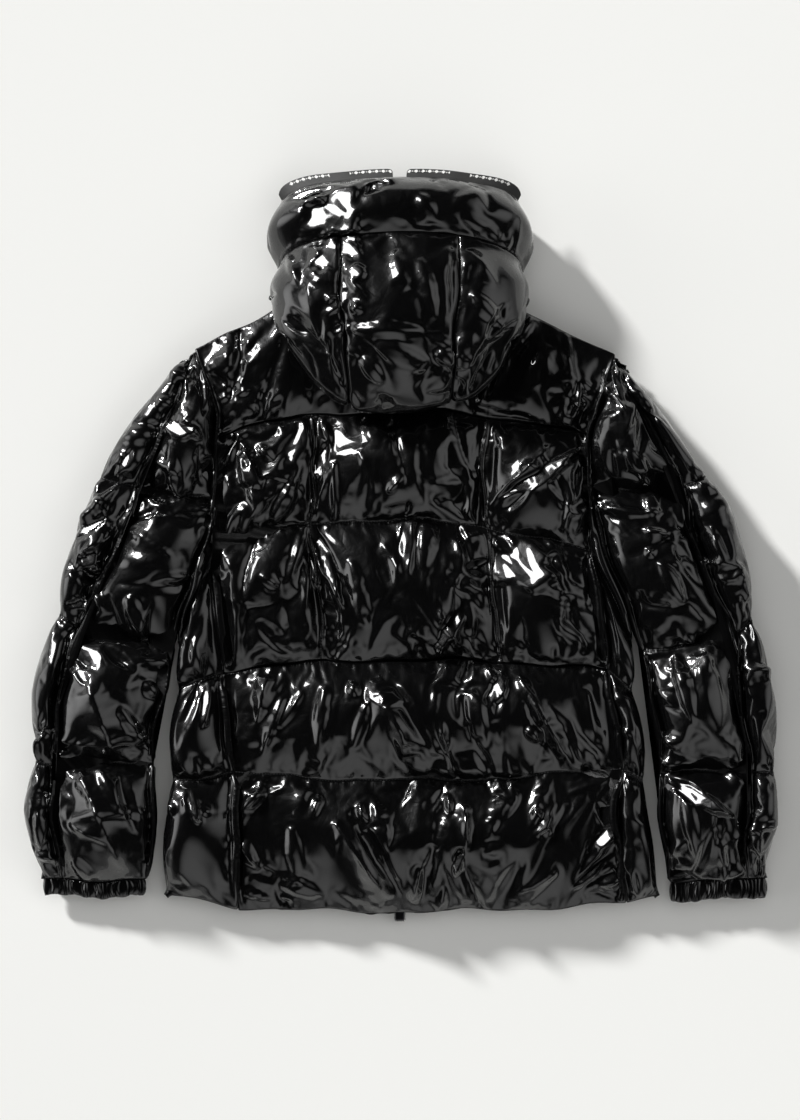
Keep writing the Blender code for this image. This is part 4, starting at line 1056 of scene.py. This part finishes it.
def press_taut(mesh):
    """Presses the mesh's taut spots towards planes that mirror the window."""
    points = read_vectors(mesh.vertices) / MM
    seam_gap = np.minimum(read_values(mesh, "row_gap"), read_values(mesh, "column_gap"))
    # seams and steep places stay as they are
    free = np.clip(seam_gap / MM / SEAM_FREE, 0, 1)
    free *= np.clip(read_vectors(mesh.vertices, "normal")[:, 2] * 2.0, 0.0, 1.0)
    for number, (x, y, half_length, half_width, angle) in enumerate(TAUT_SPOTS):
        turn = math.radians(angle)
        beside = points[:, :2] - (x, y)
        along = beside @ (math.cos(turn), math.sin(turn)) / half_length
        across = beside @ (-math.sin(turn), math.cos(turn)) / half_width
        heading = np.arctan2(across, along)
        wavy = min(half_width / WAVY_FROM, 1.0)
        edge = 1.0 + wavy * (0.26 * np.sin(3 * heading + 2.1 * number)
                             + 0.15 * np.sin(7 * heading + 1.3 * number))
        inside = np.clip((edge + SPOT_FADE - np.hypot(along, across)) / SPOT_FADE, 0.0, 1.0)
        weight = inside * inside * (3 - 2 * inside) * free
        if weight.sum() < LEAST_POINTS:
            continue
        middle = (points * weight[:, None]).sum(axis=0) / weight.sum()
        to_window, to_camera = WINDOW_AT - middle, CAMERA_AT - middle
        normal = to_window / np.linalg.norm(to_window) + to_camera / np.linalg.norm(to_camera)
        level = middle[2] - (points[:, :2] - middle[:2]) @ normal[:2] / normal[2]
        points[:, 2] += LEVELLED * weight * (level - points[:, 2])
    mesh.vertices.foreach_set("co", (points * MM).ravel())
    mesh.update()


print("taut spots:", len(TAUT_SPOTS))

# %% Closing the pieces
HOOD_WALL = 2.5              # the hood stands open, so its cloth gets a second side instead, in mm
lie = {}                     # node: grids of the points and normals of its subdivided cloth
for node, piece in puffed.items():
    count = len(piece.data.vertices)
    subdivide(piece)
    press_taut(piece.data)
    row, column, sewn = grids[node]
    lie[node] = (np.empty((*sewn.shape, 3)), np.empty((*sewn.shape, 3)))
    lie[node][0][row, column] = read_vectors(piece.data.vertices)[:count] / MM
    lie[node][1][row, column] = [tuple(vertex.normal) for vertex in piece.data.vertices[:count]]
    if node in HOOD_PIECES:
        wall(piece, HOOD_WALL)
    else:
        close(piece, DEEP_RIMS.get(node, RIM))
    piece.data.shade_smooth()
    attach(piece, BODY)
    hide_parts(node)
print("faces:", sum(len(piece.data.polygons) for piece in puffed.values()))

# %% [markdown]
# ## A short way to write materials
#
# Blender's materials are graphs of nodes. Written as plain Python sums and products they are
# far easier to read, so a small class wraps a socket, and its operators add Math nodes.
# %% Shader maths
def operator(name, turned=False):
    """A method that adds a Math node, with its two inputs in order or turned round."""
    def method(self, other):
        pair = (other, self) if turned else (self, other)
        return self.math(name, *pair)
    return method


class Value:
    """A number that varies over a surface, with arithmetic that adds Math nodes."""

    def __init__(self, shader, socket):
        self.shader, self.socket = shader, socket

    def math(self, operation, *inputs, clamp=False):
        return self.shader.node("ShaderNodeMath", {"operation": operation, "use_clamp": clamp},
                                {index: value for index, value in enumerate(inputs)})

    __add__, __sub__, __mul__, __truediv__, __lt__, __gt__ = (
        operator(name) for name in ("ADD", "SUBTRACT", "MULTIPLY", "DIVIDE", "LESS_THAN", "GREATER_THAN"))
    __radd__, __rsub__, __rmul__ = (operator(name, True) for name in ("ADD", "SUBTRACT", "MULTIPLY"))

    def fade(self, start, end):
        """0 at start to 1 at end, and flat outside."""
        return self.math("DIVIDE", self - start, end - start, clamp=True)

    def one(self, operation):
        return self.math(operation, self)


class Nodes:
    """A tree of nodes. Its inputs take numbers, colours and Values."""

    def __init__(self, tree):
        self.tree = tree

    def join(self, value, socket):
        if isinstance(value, Value):
            self.tree.links.new(value.socket, socket)
        else:
            socket.default_value = value

    def node(self, kind, settings, inputs, output=0):
        made = self.tree.nodes.new(kind)
        for key, value in settings.items():
            setattr(made, key, value)
        for key, value in inputs.items():
            self.join(value, made.inputs[key])
        return Value(self, made.outputs[output])


class Shader(Nodes):
    """A material with one Principled BSDF."""

    def __init__(self, name, **values):
        self.material = bpy.data.materials.new(name)
        self.material.use_nodes = True
        super().__init__(self.material.node_tree)
        self.surface = next(node for node in self.tree.nodes if node.type == "BSDF_PRINCIPLED")
        for key, value in values.items():
            self.set(key.replace("_", " "), value)

    def set(self, key, value):
        self.join(value, self.surface.inputs[key])

    def place(self):
        return self.node("ShaderNodeTexCoord", {}, {}, "Object")

    def attribute(self, name):
        return self.node("ShaderNodeAttribute", {"attribute_name": name}, {}, "Fac")

    def scaled(self, vector, factors):
        return self.node("ShaderNodeVectorMath", {"operation": "MULTIPLY"}, {0: vector, 1: factors})

    def uv(self):
        """The place on the cut cloth, in metres."""
        return self.node("ShaderNodeUVMap", {"uv_map": "cut"}, {})

    def noise(self, vector, scale, detail=2.0, roughness=0.5):
        return self.node("ShaderNodeTexNoise", {}, {"Vector": vector, "Scale": scale, "Detail": detail,
                                                    "Roughness": roughness})

    def split(self, vector):
        """The first two numbers of a vector."""
        made = self.node("ShaderNodeSeparateXYZ", {}, {0: vector}).socket.node
        return Value(self, made.outputs[0]), Value(self, made.outputs[1])

    def mix(self, factor, first, second):
        return self.node("ShaderNodeMix", {"data_type": "RGBA"}, {"Factor": factor, 6: first, 7: second}, 2)

    def mottle(self, scale, detail, dark, light):
        """Gives a base colour that wanders between two."""
        self.set("Base Color", self.mix(self.noise(self.place(), scale, detail), dark, light))

    def bump(self, height, distance, under=None, strength=1.0):
        inputs = {"Height": height, "Distance": distance, "Strength": strength}
        if under:
            inputs["Normal"] = under
        return self.node("ShaderNodeBump", {}, inputs)


print("shader helpers ready")

# %% [markdown]
# ## The glossy shell
#
# The shell is black nylon with a clear wet-look film. That is a dark, slightly rough base
# under a smooth clear coat: the coat mirrors the lamps sharply, while the base gives the soft
# grey haze beside them. Fine crinkles in the film, and the tiny gathers that a seam pulls into
# it, are too small to model, so they are bump. Right beside a seam the coat fades out, which
# takes the gloss off the seam lines: painted shade that keeps them dark.
# %% Glossy shell
SHELL_BLACK = (0.0012, 0.0012, 0.0013, 1.0)
# painted shade: within these distances of a seam the coat, and with it the gloss, is taken away
PAINTED_SEAM_SHADE = (0.0006, 0.0022)       # the coat fades in between these distances from a seam, in metres
ROW_GATHERS, COLUMN_GATHERS = 0.011, 0.007     # reach of the gathers off the two kinds of seams


def shell_material():
    shader = Shader("glossy_shell_nylon", Base_Color=SHELL_BLACK, Metallic=0.0)
    row_gap, column_gap = shader.attribute("row_gap"), shader.attribute("column_gap")
    # painted shade: the coat fades out right beside each seam, so the seam lines stay dark
    shader.set("Coat Weight", row_gap.fade(*PAINTED_SEAM_SHADE) * column_gap.fade(*PAINTED_SEAM_SHADE))
    shader.set("Coat Roughness", 0.05)
    shader.set("Coat IOR", 1.55)
    shader.set("Specular IOR Level", 0.12)
    place = shader.place()
    shader.set("Roughness", 0.25 + 0.16 * shader.noise(place, 30.0))

    bent = shader.node("ShaderNodeVectorMath", {"operation": "ADD"}, {
        0: place, 1: shader.scaled(shader.noise(place, 55.0, 1.0), (0.02, 0.02, 0.02))})
    cells = shader.node("ShaderNodeTexVoronoi", {"feature": "DISTANCE_TO_EDGE"},
                        {"Vector": bent, "Scale": 42.0})
    crinkle = cells.fade(0.0, 0.35)
    soft = shader.noise(place, 140.0, 3.0, 0.55)
    row_pull = shader.noise(shader.scaled(shader.uv(), (260.0, 34.0, 1.0)), 1.0, 1.0)
    column_pull = shader.noise(shader.scaled(shader.uv(), (34.0, 260.0, 1.0)), 1.0, 1.0)
    at_row = 1.0 - row_gap.fade(0.0, ROW_GATHERS)
    at_column = 1.0 - column_gap.fade(0.0, COLUMN_GATHERS)
    gather = row_pull * at_row * at_row + 0.5 * column_pull * at_column * at_column
    normal = shader.bump(crinkle, 0.0007, strength=0.5)
    normal = shader.bump(soft, 0.0005, normal, 0.5)
    normal = shader.bump(gather, 0.0022, normal, 0.8)
    shader.set("Normal", normal)
    return shader.material


shell = shell_material()
for piece in puffed.values():
    piece.data.materials.clear()
    piece.data.materials.append(shell)

# %% [markdown]
# ## Cuffs
#
# A cuff is a band of the same shell cloth, doubled over elastic, which gathers it into some
# forty uneven ribs. A simulation would need a very fine mesh for those, so a formula is
# better here: a flattened ring whose radius follows the ribs, each with its own width, and
# with every rib leaning a little, because elastic never pulls evenly.
# %% Cuffs
# centre x, half width, y at the sleeve and y at the open end
CUFFS = {"left": (-363.0, 62.0, -393.5, -413.0), "right": (370.5, 57.5, -393.5, -417.0)}
CUFF_HALF_HEIGHT = 8.5
USUAL_HALF_WIDTH = 60        # only to space the columns evenly
CUFF_SQUARENESS = 2.6        # 2 is an ellipse
CUFF_RIBS = 42
CUFF_COLUMNS, CUFF_ROWS = 252, 9
RIB_DEPTH, RIB_WIDTHS = 2.6, (0.45, 1.6)
CUFF_WALL = 1.8
CUFF_TUCK = 2.0              # how much of the band is turned in at its edges
RING_SAMPLES = 2400
WELD_DISTANCE = 0.02


def cuff_ring(columns):
    """Shares across and up of even steps round a flattened ring, which starts underneath."""
    angle = np.linspace(-math.pi / 2, 1.5 * math.pi, RING_SAMPLES)
    across, up = np.cos(angle), np.sin(angle)
    norm = (np.abs(across) ** CUFF_SQUARENESS + np.abs(up) ** CUFF_SQUARENESS) ** (1 / CUFF_SQUARENESS)
    across, up = across / norm, up / norm
    length = running_sum(np.hypot(np.diff(across) * USUAL_HALF_WIDTH, np.diff(up) * CUFF_HALF_HEIGHT))
    even = np.linspace(0.0, length[-1], columns + 1)
    return np.interp(even, length, across), np.interp(even, length, up)


def cuff_points(centre_x, half_width, y_sleeve, y_open):
    share = np.linspace(0.0, 1.0, CUFF_ROWS)[:, None]
    round_share = np.linspace(0.0, 1.0, CUFF_COLUMNS + 1)
    edges = running_sum(random.uniform(*RIB_WIDTHS, CUFF_RIBS))
    edges /= edges[-1]
    rib = np.interp(round_share, edges, np.arange(CUFF_RIBS + 1))[None]
    lean = 0.5 * np.sin(rib * 0.9) * np.sin(math.pi * share)
    bump = np.abs(np.sin(math.pi * (rib + lean))) ** 0.7
    depth = RIB_DEPTH * (0.65 + 0.35 * np.sin(rib * 2.3 + 1.0))
    swell = 1.8 * np.sin(math.pi * share) ** 0.6 - 2.2 + depth * (bump - 0.6)
    across, up = cuff_ring(CUFF_COLUMNS)
    y = y_sleeve + (y_open - y_sleeve) * share + 0.9 * np.sin(rib * 1.7) * share
    middle = mid_height(y_sleeve + (y_open - y_sleeve) * share)
    x = centre_x + (half_width + swell) * across
    z = middle + (CUFF_HALF_HEIGHT + swell) * up
    points = np.stack([x, y, z], axis=-1)
    points[:, -1] = points[:, 0]
    return points


def weld(piece):
    """Joins points of a piece that are in the same place."""
    bm = bmesh.new()
    bm.from_mesh(piece.data)
    bmesh.ops.remove_doubles(bm, verts=bm.verts, dist=WELD_DISTANCE * MM)
    bm.to_mesh(piece.data)
    bm.free()


def half_area(piece):
    """Area of one side of a thin piece, in square metres."""
    return sum(polygon.area for polygon in piece.data.polygons) / 2


for side, facts in CUFFS.items():
    points = cuff_points(*facts)
    y = points[..., 1]
    heart = np.stack([np.full(y.shape, facts[0]), y, mid_height(y)], axis=-1)
    sewn = np.zeros(points.shape[:2], bool)
    sewn[0] = True
    cuff, _, _ = grid_piece(f"cuff_{side}_gathered", points, sewn, heart)
    weld(cuff)
    subdivide(cuff)
    wall(cuff, CUFF_WALL)
    cuff.data.materials.append(shell)
    cuff.data.shade_smooth()
    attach(cuff, BODY)
    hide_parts(f"cuff_{side}")
    band = (facts[2] - facts[3] + CUFF_TUCK) * MM
    cut = (round(half_area(cuff) / band, 3), round(band, 4))
    print(cuff.name, "cut to", cut)

# %% [markdown]
# ## Woven tape and its motif
#
# The brim of the hood is bound with a black woven tape, which carries a small white motif
# along its outer half. A weave is two sets of threads, so two sine waves whose crests pass
# over one another give its bump. The motif is worked out from the tape's own UV map, in
# metres, so it follows the tape round the hood: lozenges with a short dash between them.
# %% Woven tape
THREAD = 0.00055             # from one thread to the next
TAPE_BLACK = (0.008, 0.008, 0.008, 1.0)
TAPE_GREY = (0.019, 0.019, 0.018, 1.0)
TAPE_WHITE = (0.72, 0.72, 0.70, 1.0)
MOTIF_LINE = 0.0122          # the motif's middle, from the sewn edge of the tape, in metres
MOTIF_STEP = 0.0078
MOTIF_RUN, RUN_SHARE = 0.074, 0.68   # the motif comes in runs with bare tape between them


def weave(shader, along, across, rough, smoother):
    """A plain weave for two places in metres: its crests are smoother than its valleys."""
    first = (along * (math.pi / THREAD)).one("SINE")
    second = (across * (math.pi / THREAD)).one("SINE")
    threads = 0.5 + 0.5 * first * second
    shader.set("Roughness", rough - smoother * threads)
    shader.set("Normal", shader.bump(threads, 0.0002, strength=0.6))


def lozenges(along, across, middle, period, half_length, half_width):
    """1 on a row of lozenges, 0 beside them."""
    step = (along / period).one("FRACT") - 0.5
    beside = (across - middle).one("ABSOLUTE") * (1 / half_width)
    return step.one("ABSOLUTE") * (period / half_length) + beside < 1.0


def tape_material():
    shader = Shader("woven_tape_with_motif", Metallic=0.0)
    along, across = shader.split(shader.uv())
    weave(shader, along, across, 0.72, 0.2)
    lozenge = lozenges(along, across, MOTIF_LINE, MOTIF_STEP, 0.0026, 0.0024)
    dash = lozenges(along + MOTIF_STEP / 2, across, MOTIF_LINE, MOTIF_STEP, 0.0007, 0.0012)
    in_run = (along / MOTIF_RUN).one("FRACT") < RUN_SHARE
    worn = shader.noise(shader.place(), 900.0, 2.0) > 0.36
    motif = (lozenge + dash) * in_run * worn
    plain = shader.mix(shader.noise(shader.place(), 60.0), TAPE_BLACK, TAPE_GREY)
    shader.set("Base Color", shader.mix(motif, plain, TAPE_WHITE))
    return shader.material


def plain_tape_material():
    shader = Shader("plain_woven_tape", Metallic=0.0)
    weave(shader, *shader.split(shader.place()), 0.75, 0.15)
    shader.mottle(80.0, 3.0, (0.006, 0.006, 0.006, 1.0), (0.02, 0.02, 0.021, 1.0))
    return shader.material


motif_tape = tape_material()
plain_tape = plain_tape_material()

# %% [markdown]
# ## The hood's tape
#
# The tape follows the edge of the brim and stands a little beyond it. It is two strips that
# stop short of each other in the middle. Each is a grid along the edge, with its thickness
# added below it, and its end is folded in, which rounds the corner.
# %% Hood tape
TAPE_TURNS = (0.022, 0.77)   # shares of the way round the hood's edge
TAPE_WIDTH, TAPE_DROP = 13.0, 9.0
TAPE_DEPTH, TAPE_GAP, TAPE_FLARE = 3.5, 0.85, 0.05
TAPE_THICKNESS = 1.3
JUST_INSIDE = 0.01           # a place along the hood next to its edge
TAPE_COLUMNS, TAPE_ROWS = 150, 7
TAPE_END_FOLD = 5.0          # over this length the strip narrows to its rounded end


def tape_points(sign):
    turn = sign * np.linspace(*TAPE_TURNS, TAPE_COLUMNS)
    edge = hood_base(np.zeros(1), turn)[0]
    inner = hood_base(np.full(1, JUST_INSIDE), turn)[0]
    outwards = (edge - inner) / np.linalg.norm(edge - inner, axis=1)[:, None]
    normal = np.cross(outwards, np.gradient(edge, axis=0))
    normal /= np.linalg.norm(normal, axis=1)[:, None]
    normal *= np.sign(normal[:, 2:])
    near = edge + outwards * TAPE_GAP - normal * TAPE_DEPTH
    drop_by = TAPE_DROP * np.maximum(np.cos(np.radians(turn * EDGE_TUCK)), 0.0)
    along = lengths_along(near)
    corner = np.sqrt(1.0 - (1.0 - np.clip(along / TAPE_END_FOLD, 0.0, 1.0)) ** 2)
    reach = np.column_stack([(edge[:, 0] - HOOD_X) * TAPE_FLARE, np.full(len(turn), TAPE_WIDTH), -drop_by])
    share = np.linspace(0.0, 1.0, TAPE_ROWS)[:, None, None]
    points = near[None] + reach[None] * share * (0.72 + 0.28 * corner)[None, :, None]
    points[..., 2] += 0.5 * np.sin(along / 7.0)[None] * share[..., 0]
    return points


for side, sign in zip(SIDES, (-1, 1)):
    points = tape_points(sign)
    sewn = np.zeros(points.shape[:2], bool)
    sewn[0] = sewn[:, 0] = True
    tape, _, _ = grid_piece(f"hood_tape_{side}_woven", points, sewn, points - (0.0, 0.0, 50.0))
    tape.data.materials.append(motif_tape)
    subdivide(tape)
    wall(tape, TAPE_THICKNESS)
    tape.data.shade_smooth()
    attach(tape, BODY)
    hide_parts(f"hood_tape_{side}")
    TAPE_CUT = (0.016, round(half_area(tape) / 0.016, 3))
    print(tape.name, "cut to", TAPE_CUT)

# %% [markdown]
# ## Stitches
#
# Every quilting line is a row of stitches about three millimetres long. There are over a
# thousand, so each is a sphere of a few faces, drawn out and laid along its seam, and those of
# a panel are one mesh. Black thread on black cloth hardly shows, but it breaks the light in the
# valley of the seam. The left tape is sewn on with white thread.
# %% Stitches
STITCH_PITCH = 3.4
STITCH_LENGTH, STITCH_WIDTH, STITCH_HEIGHT = 2.5, 0.62, 0.45
STITCH_LIFT = 0.25           # its middle above the cloth
HEM_STITCHES = (2.7, 1.9)    # pitch and length of the white ones at the tape
HEM_ROW = 3                  # the row of the brim's grid that they lie on
HEM_FROM_X, HEM_TO_X = -125.0, -12.0

stitch_bm = bmesh.new()      # one stitch, along X, two units long, wide and high
bmesh.ops.create_uvsphere(stitch_bm, u_segments=6, v_segments=4, radius=1.0)
stitch = to_mesh("stitch", stitch_bm)


def sew(bm, points, normals, pitch, length):
    """Lays stitches along a line of points."""
    along = lengths_along(points)

    def at(place, rows=points):
        return np.array([np.interp(place, along, rows[:, axis]) for axis in range(3)])

    for place in np.arange(pitch, along[-1] - pitch, pitch):
        up = Vector(at(place, normals)).normalized()
        forward = Vector(at(place + length / 2) - at(place - length / 2)).normalized()
        aside = up.cross(forward).normalized()
        up = forward.cross(aside)
        axes = (forward * (length / 2), aside * (STITCH_WIDTH / 2), up * (STITCH_HEIGHT / 2))
        turn = Matrix(axes).transposed()
        centre = (Vector(at(place)) + up * STITCH_LIFT) * MM
        centre.z = max(centre.z, STITCH_HEIGHT * MM)
        matrix = Matrix.Translation(centre) @ (turn * MM).to_4x4()
        stitch.transform(matrix)
        bm.from_mesh(stitch)
        stitch.transform(matrix.inverted())


def thread_piece(name, bm, material):
    bmesh.ops.recalc_face_normals(bm, faces=bm.faces)
    mesh = to_mesh(name, bm)
    mesh.materials.append(material)
    mesh.shade_smooth()
    piece = add_object(name, mesh)
    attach(piece, BODY)
    print(name, len(mesh.polygons), "faces")


def thread_material(name, dark, light):
    shader = Shader(name, Metallic=0.0)
    shader.mottle(400.0, 2.0, dark, light)
    shader.set("Roughness", 0.45 + 0.3 * shader.noise(shader.place(), 900.0, 2.0))
    shader.set("Normal", shader.bump(shader.noise(shader.place(), 2500.0, 1.0), 0.0001))
    return shader.material


black_thread = thread_material("black_thread", (0.008, 0.008, 0.008, 1.0), (0.03, 0.03, 0.032, 1.0))
for node, (points, normals) in lie.items():
    bm = bmesh.new()
    sewn = grids[node][2]
    for axis in (0, 1):
        for index in np.flatnonzero(sewn.all(axis=1 - axis))[1:-1]:
            sew(bm, points.take(index, axis), normals.take(index, axis), STITCH_PITCH, STITCH_LENGTH)
    if bm.faces:
        thread_piece(f"{node}_stitches", bm, black_thread)
    else:
        bm.free()

white_thread = thread_material("white_thread", (0.6, 0.6, 0.58, 1.0), (0.8, 0.8, 0.78, 1.0))
bm = bmesh.new()
hem_points, hem_normals = (grid[HEM_ROW] for grid in lie["hood_brim"])
hem = (hem_points[:, 0] > HEM_FROM_X) & (hem_points[:, 0] < HEM_TO_X) & (hem_normals[:, 2] > 0.1)
sew(bm, hem_points[hem], hem_normals[hem], *HEM_STITCHES)
thread_piece("hood_tape_stitches", bm, white_thread)

# %% [markdown]
# ## The zip
#
# The zip lies under the jacket, between its two fronts. The frame has its tape, slider, pull
# tab and box. What is missing is the chain: two rows of metal teeth that take turns. One
# bevelled tooth is made again and again along the bead of the tape, dropped onto it by rays.
# %% Zip teeth
TOOTH_PITCH = 2.8
TOOTH_SIZE = (3.4, 1.25, 1.1)
TOOTH_OFFSET = 1.15          # of each row from the middle line
TEETH_FROM_Y, TEETH_TO_Y = 226.0, -428.0
TOOTH_SUNK = 0.25
TOOTH_BEVEL = 0.25
BEAD_GUESS = 8.0             # the rays onto the bead come up from below, towards this height

tooth_y = np.arange(TEETH_TO_Y, TEETH_FROM_Y, TOOTH_PITCH / 2)
tooth_x = np.where(np.arange(len(tooth_y)) % 2, TOOTH_OFFSET, -TOOTH_OFFSET)
below = np.column_stack([tooth_x, tooth_y, np.full(len(tooth_y), BEAD_GUESS)])
bead = drop(tree_of("zip_tape"), below, np.tile([0.0, 0.0, -1.0], (len(below), 1)))
bm = bmesh.new()
for x, y, z in bead:
    centre = Vector((x, y, z + TOOTH_SUNK - TOOTH_SIZE[2] / 2)) * MM
    size = Matrix.Diagonal((*(side * MM for side in TOOTH_SIZE), 1.0))
    bmesh.ops.create_cube(bm, size=1.0, matrix=Matrix.Translation(centre) @ size)
bmesh.ops.bevel(bm, geom=bm.edges[:], offset=TOOTH_BEVEL * MM, affect="EDGES", segments=1, profile=0.5,
                material=-1)
teeth_mesh = to_mesh("zip_teeth", bm)
teeth = add_object("zip_teeth", teeth_mesh)
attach(teeth, BODY)
print("teeth:", len(bead), "lowest", round(read_vectors(teeth_mesh.vertices)[:, 2].min() / MM, 2), "mm")

# %% Zip metal
def metal_material(name, dark, light, roughness):
    """Plated metal with fine scratches and a slightly worn colour."""
    shader = Shader(name, Metallic=1.0)
    scratch = shader.noise(shader.scaled(shader.place(), (2600.0, 180.0, 2600.0)), 1.0)
    shader.mottle(220.0, 3.0, dark, light)
    shader.set("Roughness", roughness + 0.22 * scratch)
    shader.set("Normal", shader.bump(scratch, 0.00005, strength=0.5))
    return shader.material


dark_metal = metal_material("dark_zip_metal", (0.045, 0.045, 0.05, 1.0), (0.11, 0.11, 0.12, 1.0), 0.22)
bright_metal = metal_material("bright_zip_metal", (0.62, 0.62, 0.61, 1.0), (0.82, 0.82, 0.80, 1.0), 0.16)
teeth_mesh.materials.append(dark_metal)
for node in ("zip_tape", "zip_slider", "zip_pull", "zip_box"):
    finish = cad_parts[node].data.materials
    finish.clear()
    finish.append(plain_tape if node == "zip_tape" else dark_metal)

# %% Bright rim of the zip's box
RIM_WALL, RIM_GAP, RIM_HEIGHT = 1.0, 0.15, 2.2
RIM_ABOVE = 0.5              # how far it stands above the box
CORNER_BEVEL, EDGE_BEVEL = 1.1, 0.2
box_low, box_high = (Vector(corner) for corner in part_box("zip_box"))
rim_size = box_high - box_low + Vector((2 * RIM_GAP * MM, 2 * RIM_GAP * MM, 0.0))
rim_centre = (box_low + box_high) / 2
rim_centre.z = box_high.z - RIM_HEIGHT * MM / 2 + RIM_ABOVE * MM
bm = bmesh.new()
bmesh.ops.create_cube(bm, size=1.0, matrix=Matrix.Translation(rim_centre) @ Matrix.Diagonal(
    (rim_size.x, rim_size.y, RIM_HEIGHT * MM, 1.0)))
flat_faces = [face for face in bm.faces if abs(face.normal.z) > 0.9]
bmesh.ops.delete(bm, geom=flat_faces, context="FACES_ONLY")
bmesh.ops.bevel(bm, geom=[edge for edge in bm.edges if len(edge.link_faces) == 2], offset=CORNER_BEVEL * MM,
                affect="EDGES", segments=4, profile=0.5, material=-1)
rim_mesh = to_mesh("zip_box_rim", bm)
rim = add_object("zip_box_rim", rim_mesh)
rim_wall = rim.modifiers.new("wall", "SOLIDIFY")
rim_wall.thickness = RIM_WALL * MM
rim_wall.offset = 1.0
rounding = rim.modifiers.new("rounding", "BEVEL")
rounding.width = EDGE_BEVEL * MM
rounding.segments = 2
rim_mesh.materials.append(bright_metal)
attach(rim, BODY)
print("rim:", [round(size / MM, 1) for size in rim_size])

# %% [markdown]
# ## Floor and light
#
# A small, far lamp low at the upper left throws the shadow to the lower right. What the glossy
# cloth mirrors is another matter. A window at the upper left, which only the gloss sees, draws
# the white patches, and three soft glows of the sky draw the grey ones. A wide lamp overhead,
# which the gloss doesn't see, makes the floor pale. The sky is pale near the horizon, so that
# the edges of the cloth turn grey there, and dark overhead, so that the flat places stay black.
# %% Floor, lamp and world
KEY_DIRECTION = (-0.66, 0.66, 0.37)   # towards the lamp
KEY_STRENGTH, KEY_ANGLE = 4.9, 6.0
WINDOW_SIZE, WINDOW_WATTS = (0.7, 0.95), 50.0
FILL_DIRECTION, FILL_DISTANCE, FILL_SIZE, FILL_WATTS = (0.1, 0.1, 1.0), 4.5, (7.0, 7.0), 84.0
# soft glows of the sky: direction, reach in degrees, brightness
GLOWS = (((0.10, -0.78, 0.60), 33.0, 0.9), ((0.80, 0.12, 0.55), 31.0, 1.0), ((-0.97, 0.0, 0.24), 24.0, 2.6))
SKY = ((0.0, 0.5), (0.10, 0.3), (0.22, 0.012), (1.0, 0.003))     # height of a direction, brightness
FLOOR_SIZE = 12.0
FLOOR_HEIGHT = -0.0005

bm = bmesh.new()
bmesh.ops.create_grid(bm, x_segments=1, y_segments=1, size=FLOOR_SIZE / 2)
bmesh.ops.translate(bm, verts=bm.verts, vec=(0.0, 0.0, FLOOR_HEIGHT))
floor = add_object("floor", to_mesh("floor", bm))
floor_shader = Shader("pale_floor", Base_Color=(0.86, 0.86, 0.835, 1.0), Roughness=0.9)
floor.data.materials.append(floor_shader.material)
floor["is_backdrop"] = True


def add_lamp(name, kind, direction, power, distance=1.0, size=None):
    """A lamp that faces the jacket; one with a size is a rectangle."""
    data = bpy.data.lights.new(name, kind)
    data.energy = power
    if size:
        data.shape = "RECTANGLE"
        data.size, data.size_y = size
    lamp = add_object(name, data)
    way = Vector(direction).normalized()
    lamp.location = way * distance
    lamp.rotation_euler = way.to_track_quat("Z", "Y").to_euler()
    return lamp


key = add_lamp("key", "SUN", KEY_DIRECTION, KEY_STRENGTH)
key.data.angle = math.radians(KEY_ANGLE)
window = add_lamp("window", "AREA", WINDOW_DIRECTION, WINDOW_WATTS, WINDOW_DISTANCE, WINDOW_SIZE)
window.visible_diffuse = False
floor_fill = add_lamp("floor_fill", "AREA", FILL_DIRECTION, FILL_WATTS, FILL_DISTANCE, FILL_SIZE)
floor_fill.visible_glossy = False

world = bpy.data.worlds.new("studio")
bpy.context.scene.world = world
world.use_nodes = True
sky = Nodes(world.node_tree)
where = sky.node("ShaderNodeTexCoord", {}, {}, "Generated")
light = sky.node("ShaderNodeValToRGB", {}, {0: sky.node("ShaderNodeSeparateXYZ", {}, {0: where}, "Z")})
stops = light.socket.node.color_ramp.elements
for _ in SKY[2:]:
    stops.new(0.5)
for stop, (height, grey) in zip(stops, SKY):
    stop.position = height
    stop.color = (grey, grey, grey, 1.0)
for direction, reach, brightness in GLOWS:
    nearness = sky.node("ShaderNodeVectorMath", {"operation": "DOT_PRODUCT"},
                        {0: where, 1: Vector(direction).normalized()}, "Value")
    glow = sky.node("ShaderNodeMapRange", {"interpolation_type": "SMOOTHSTEP"},
                    {"Value": nearness, "From Min": math.cos(math.radians(reach)), "To Max": brightness})
    light = sky.node("ShaderNodeVectorMath", {"operation": "ADD"}, {0: light, 1: glow})
sky.join(light, world.node_tree.nodes["Background"].inputs[0])
bpy.context.scene.view_settings.view_transform = "Standard"

# %% Sizes
low, high = (list(corner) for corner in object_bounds())
print("visual", [round(value, 3) for value in (*low, *high)])
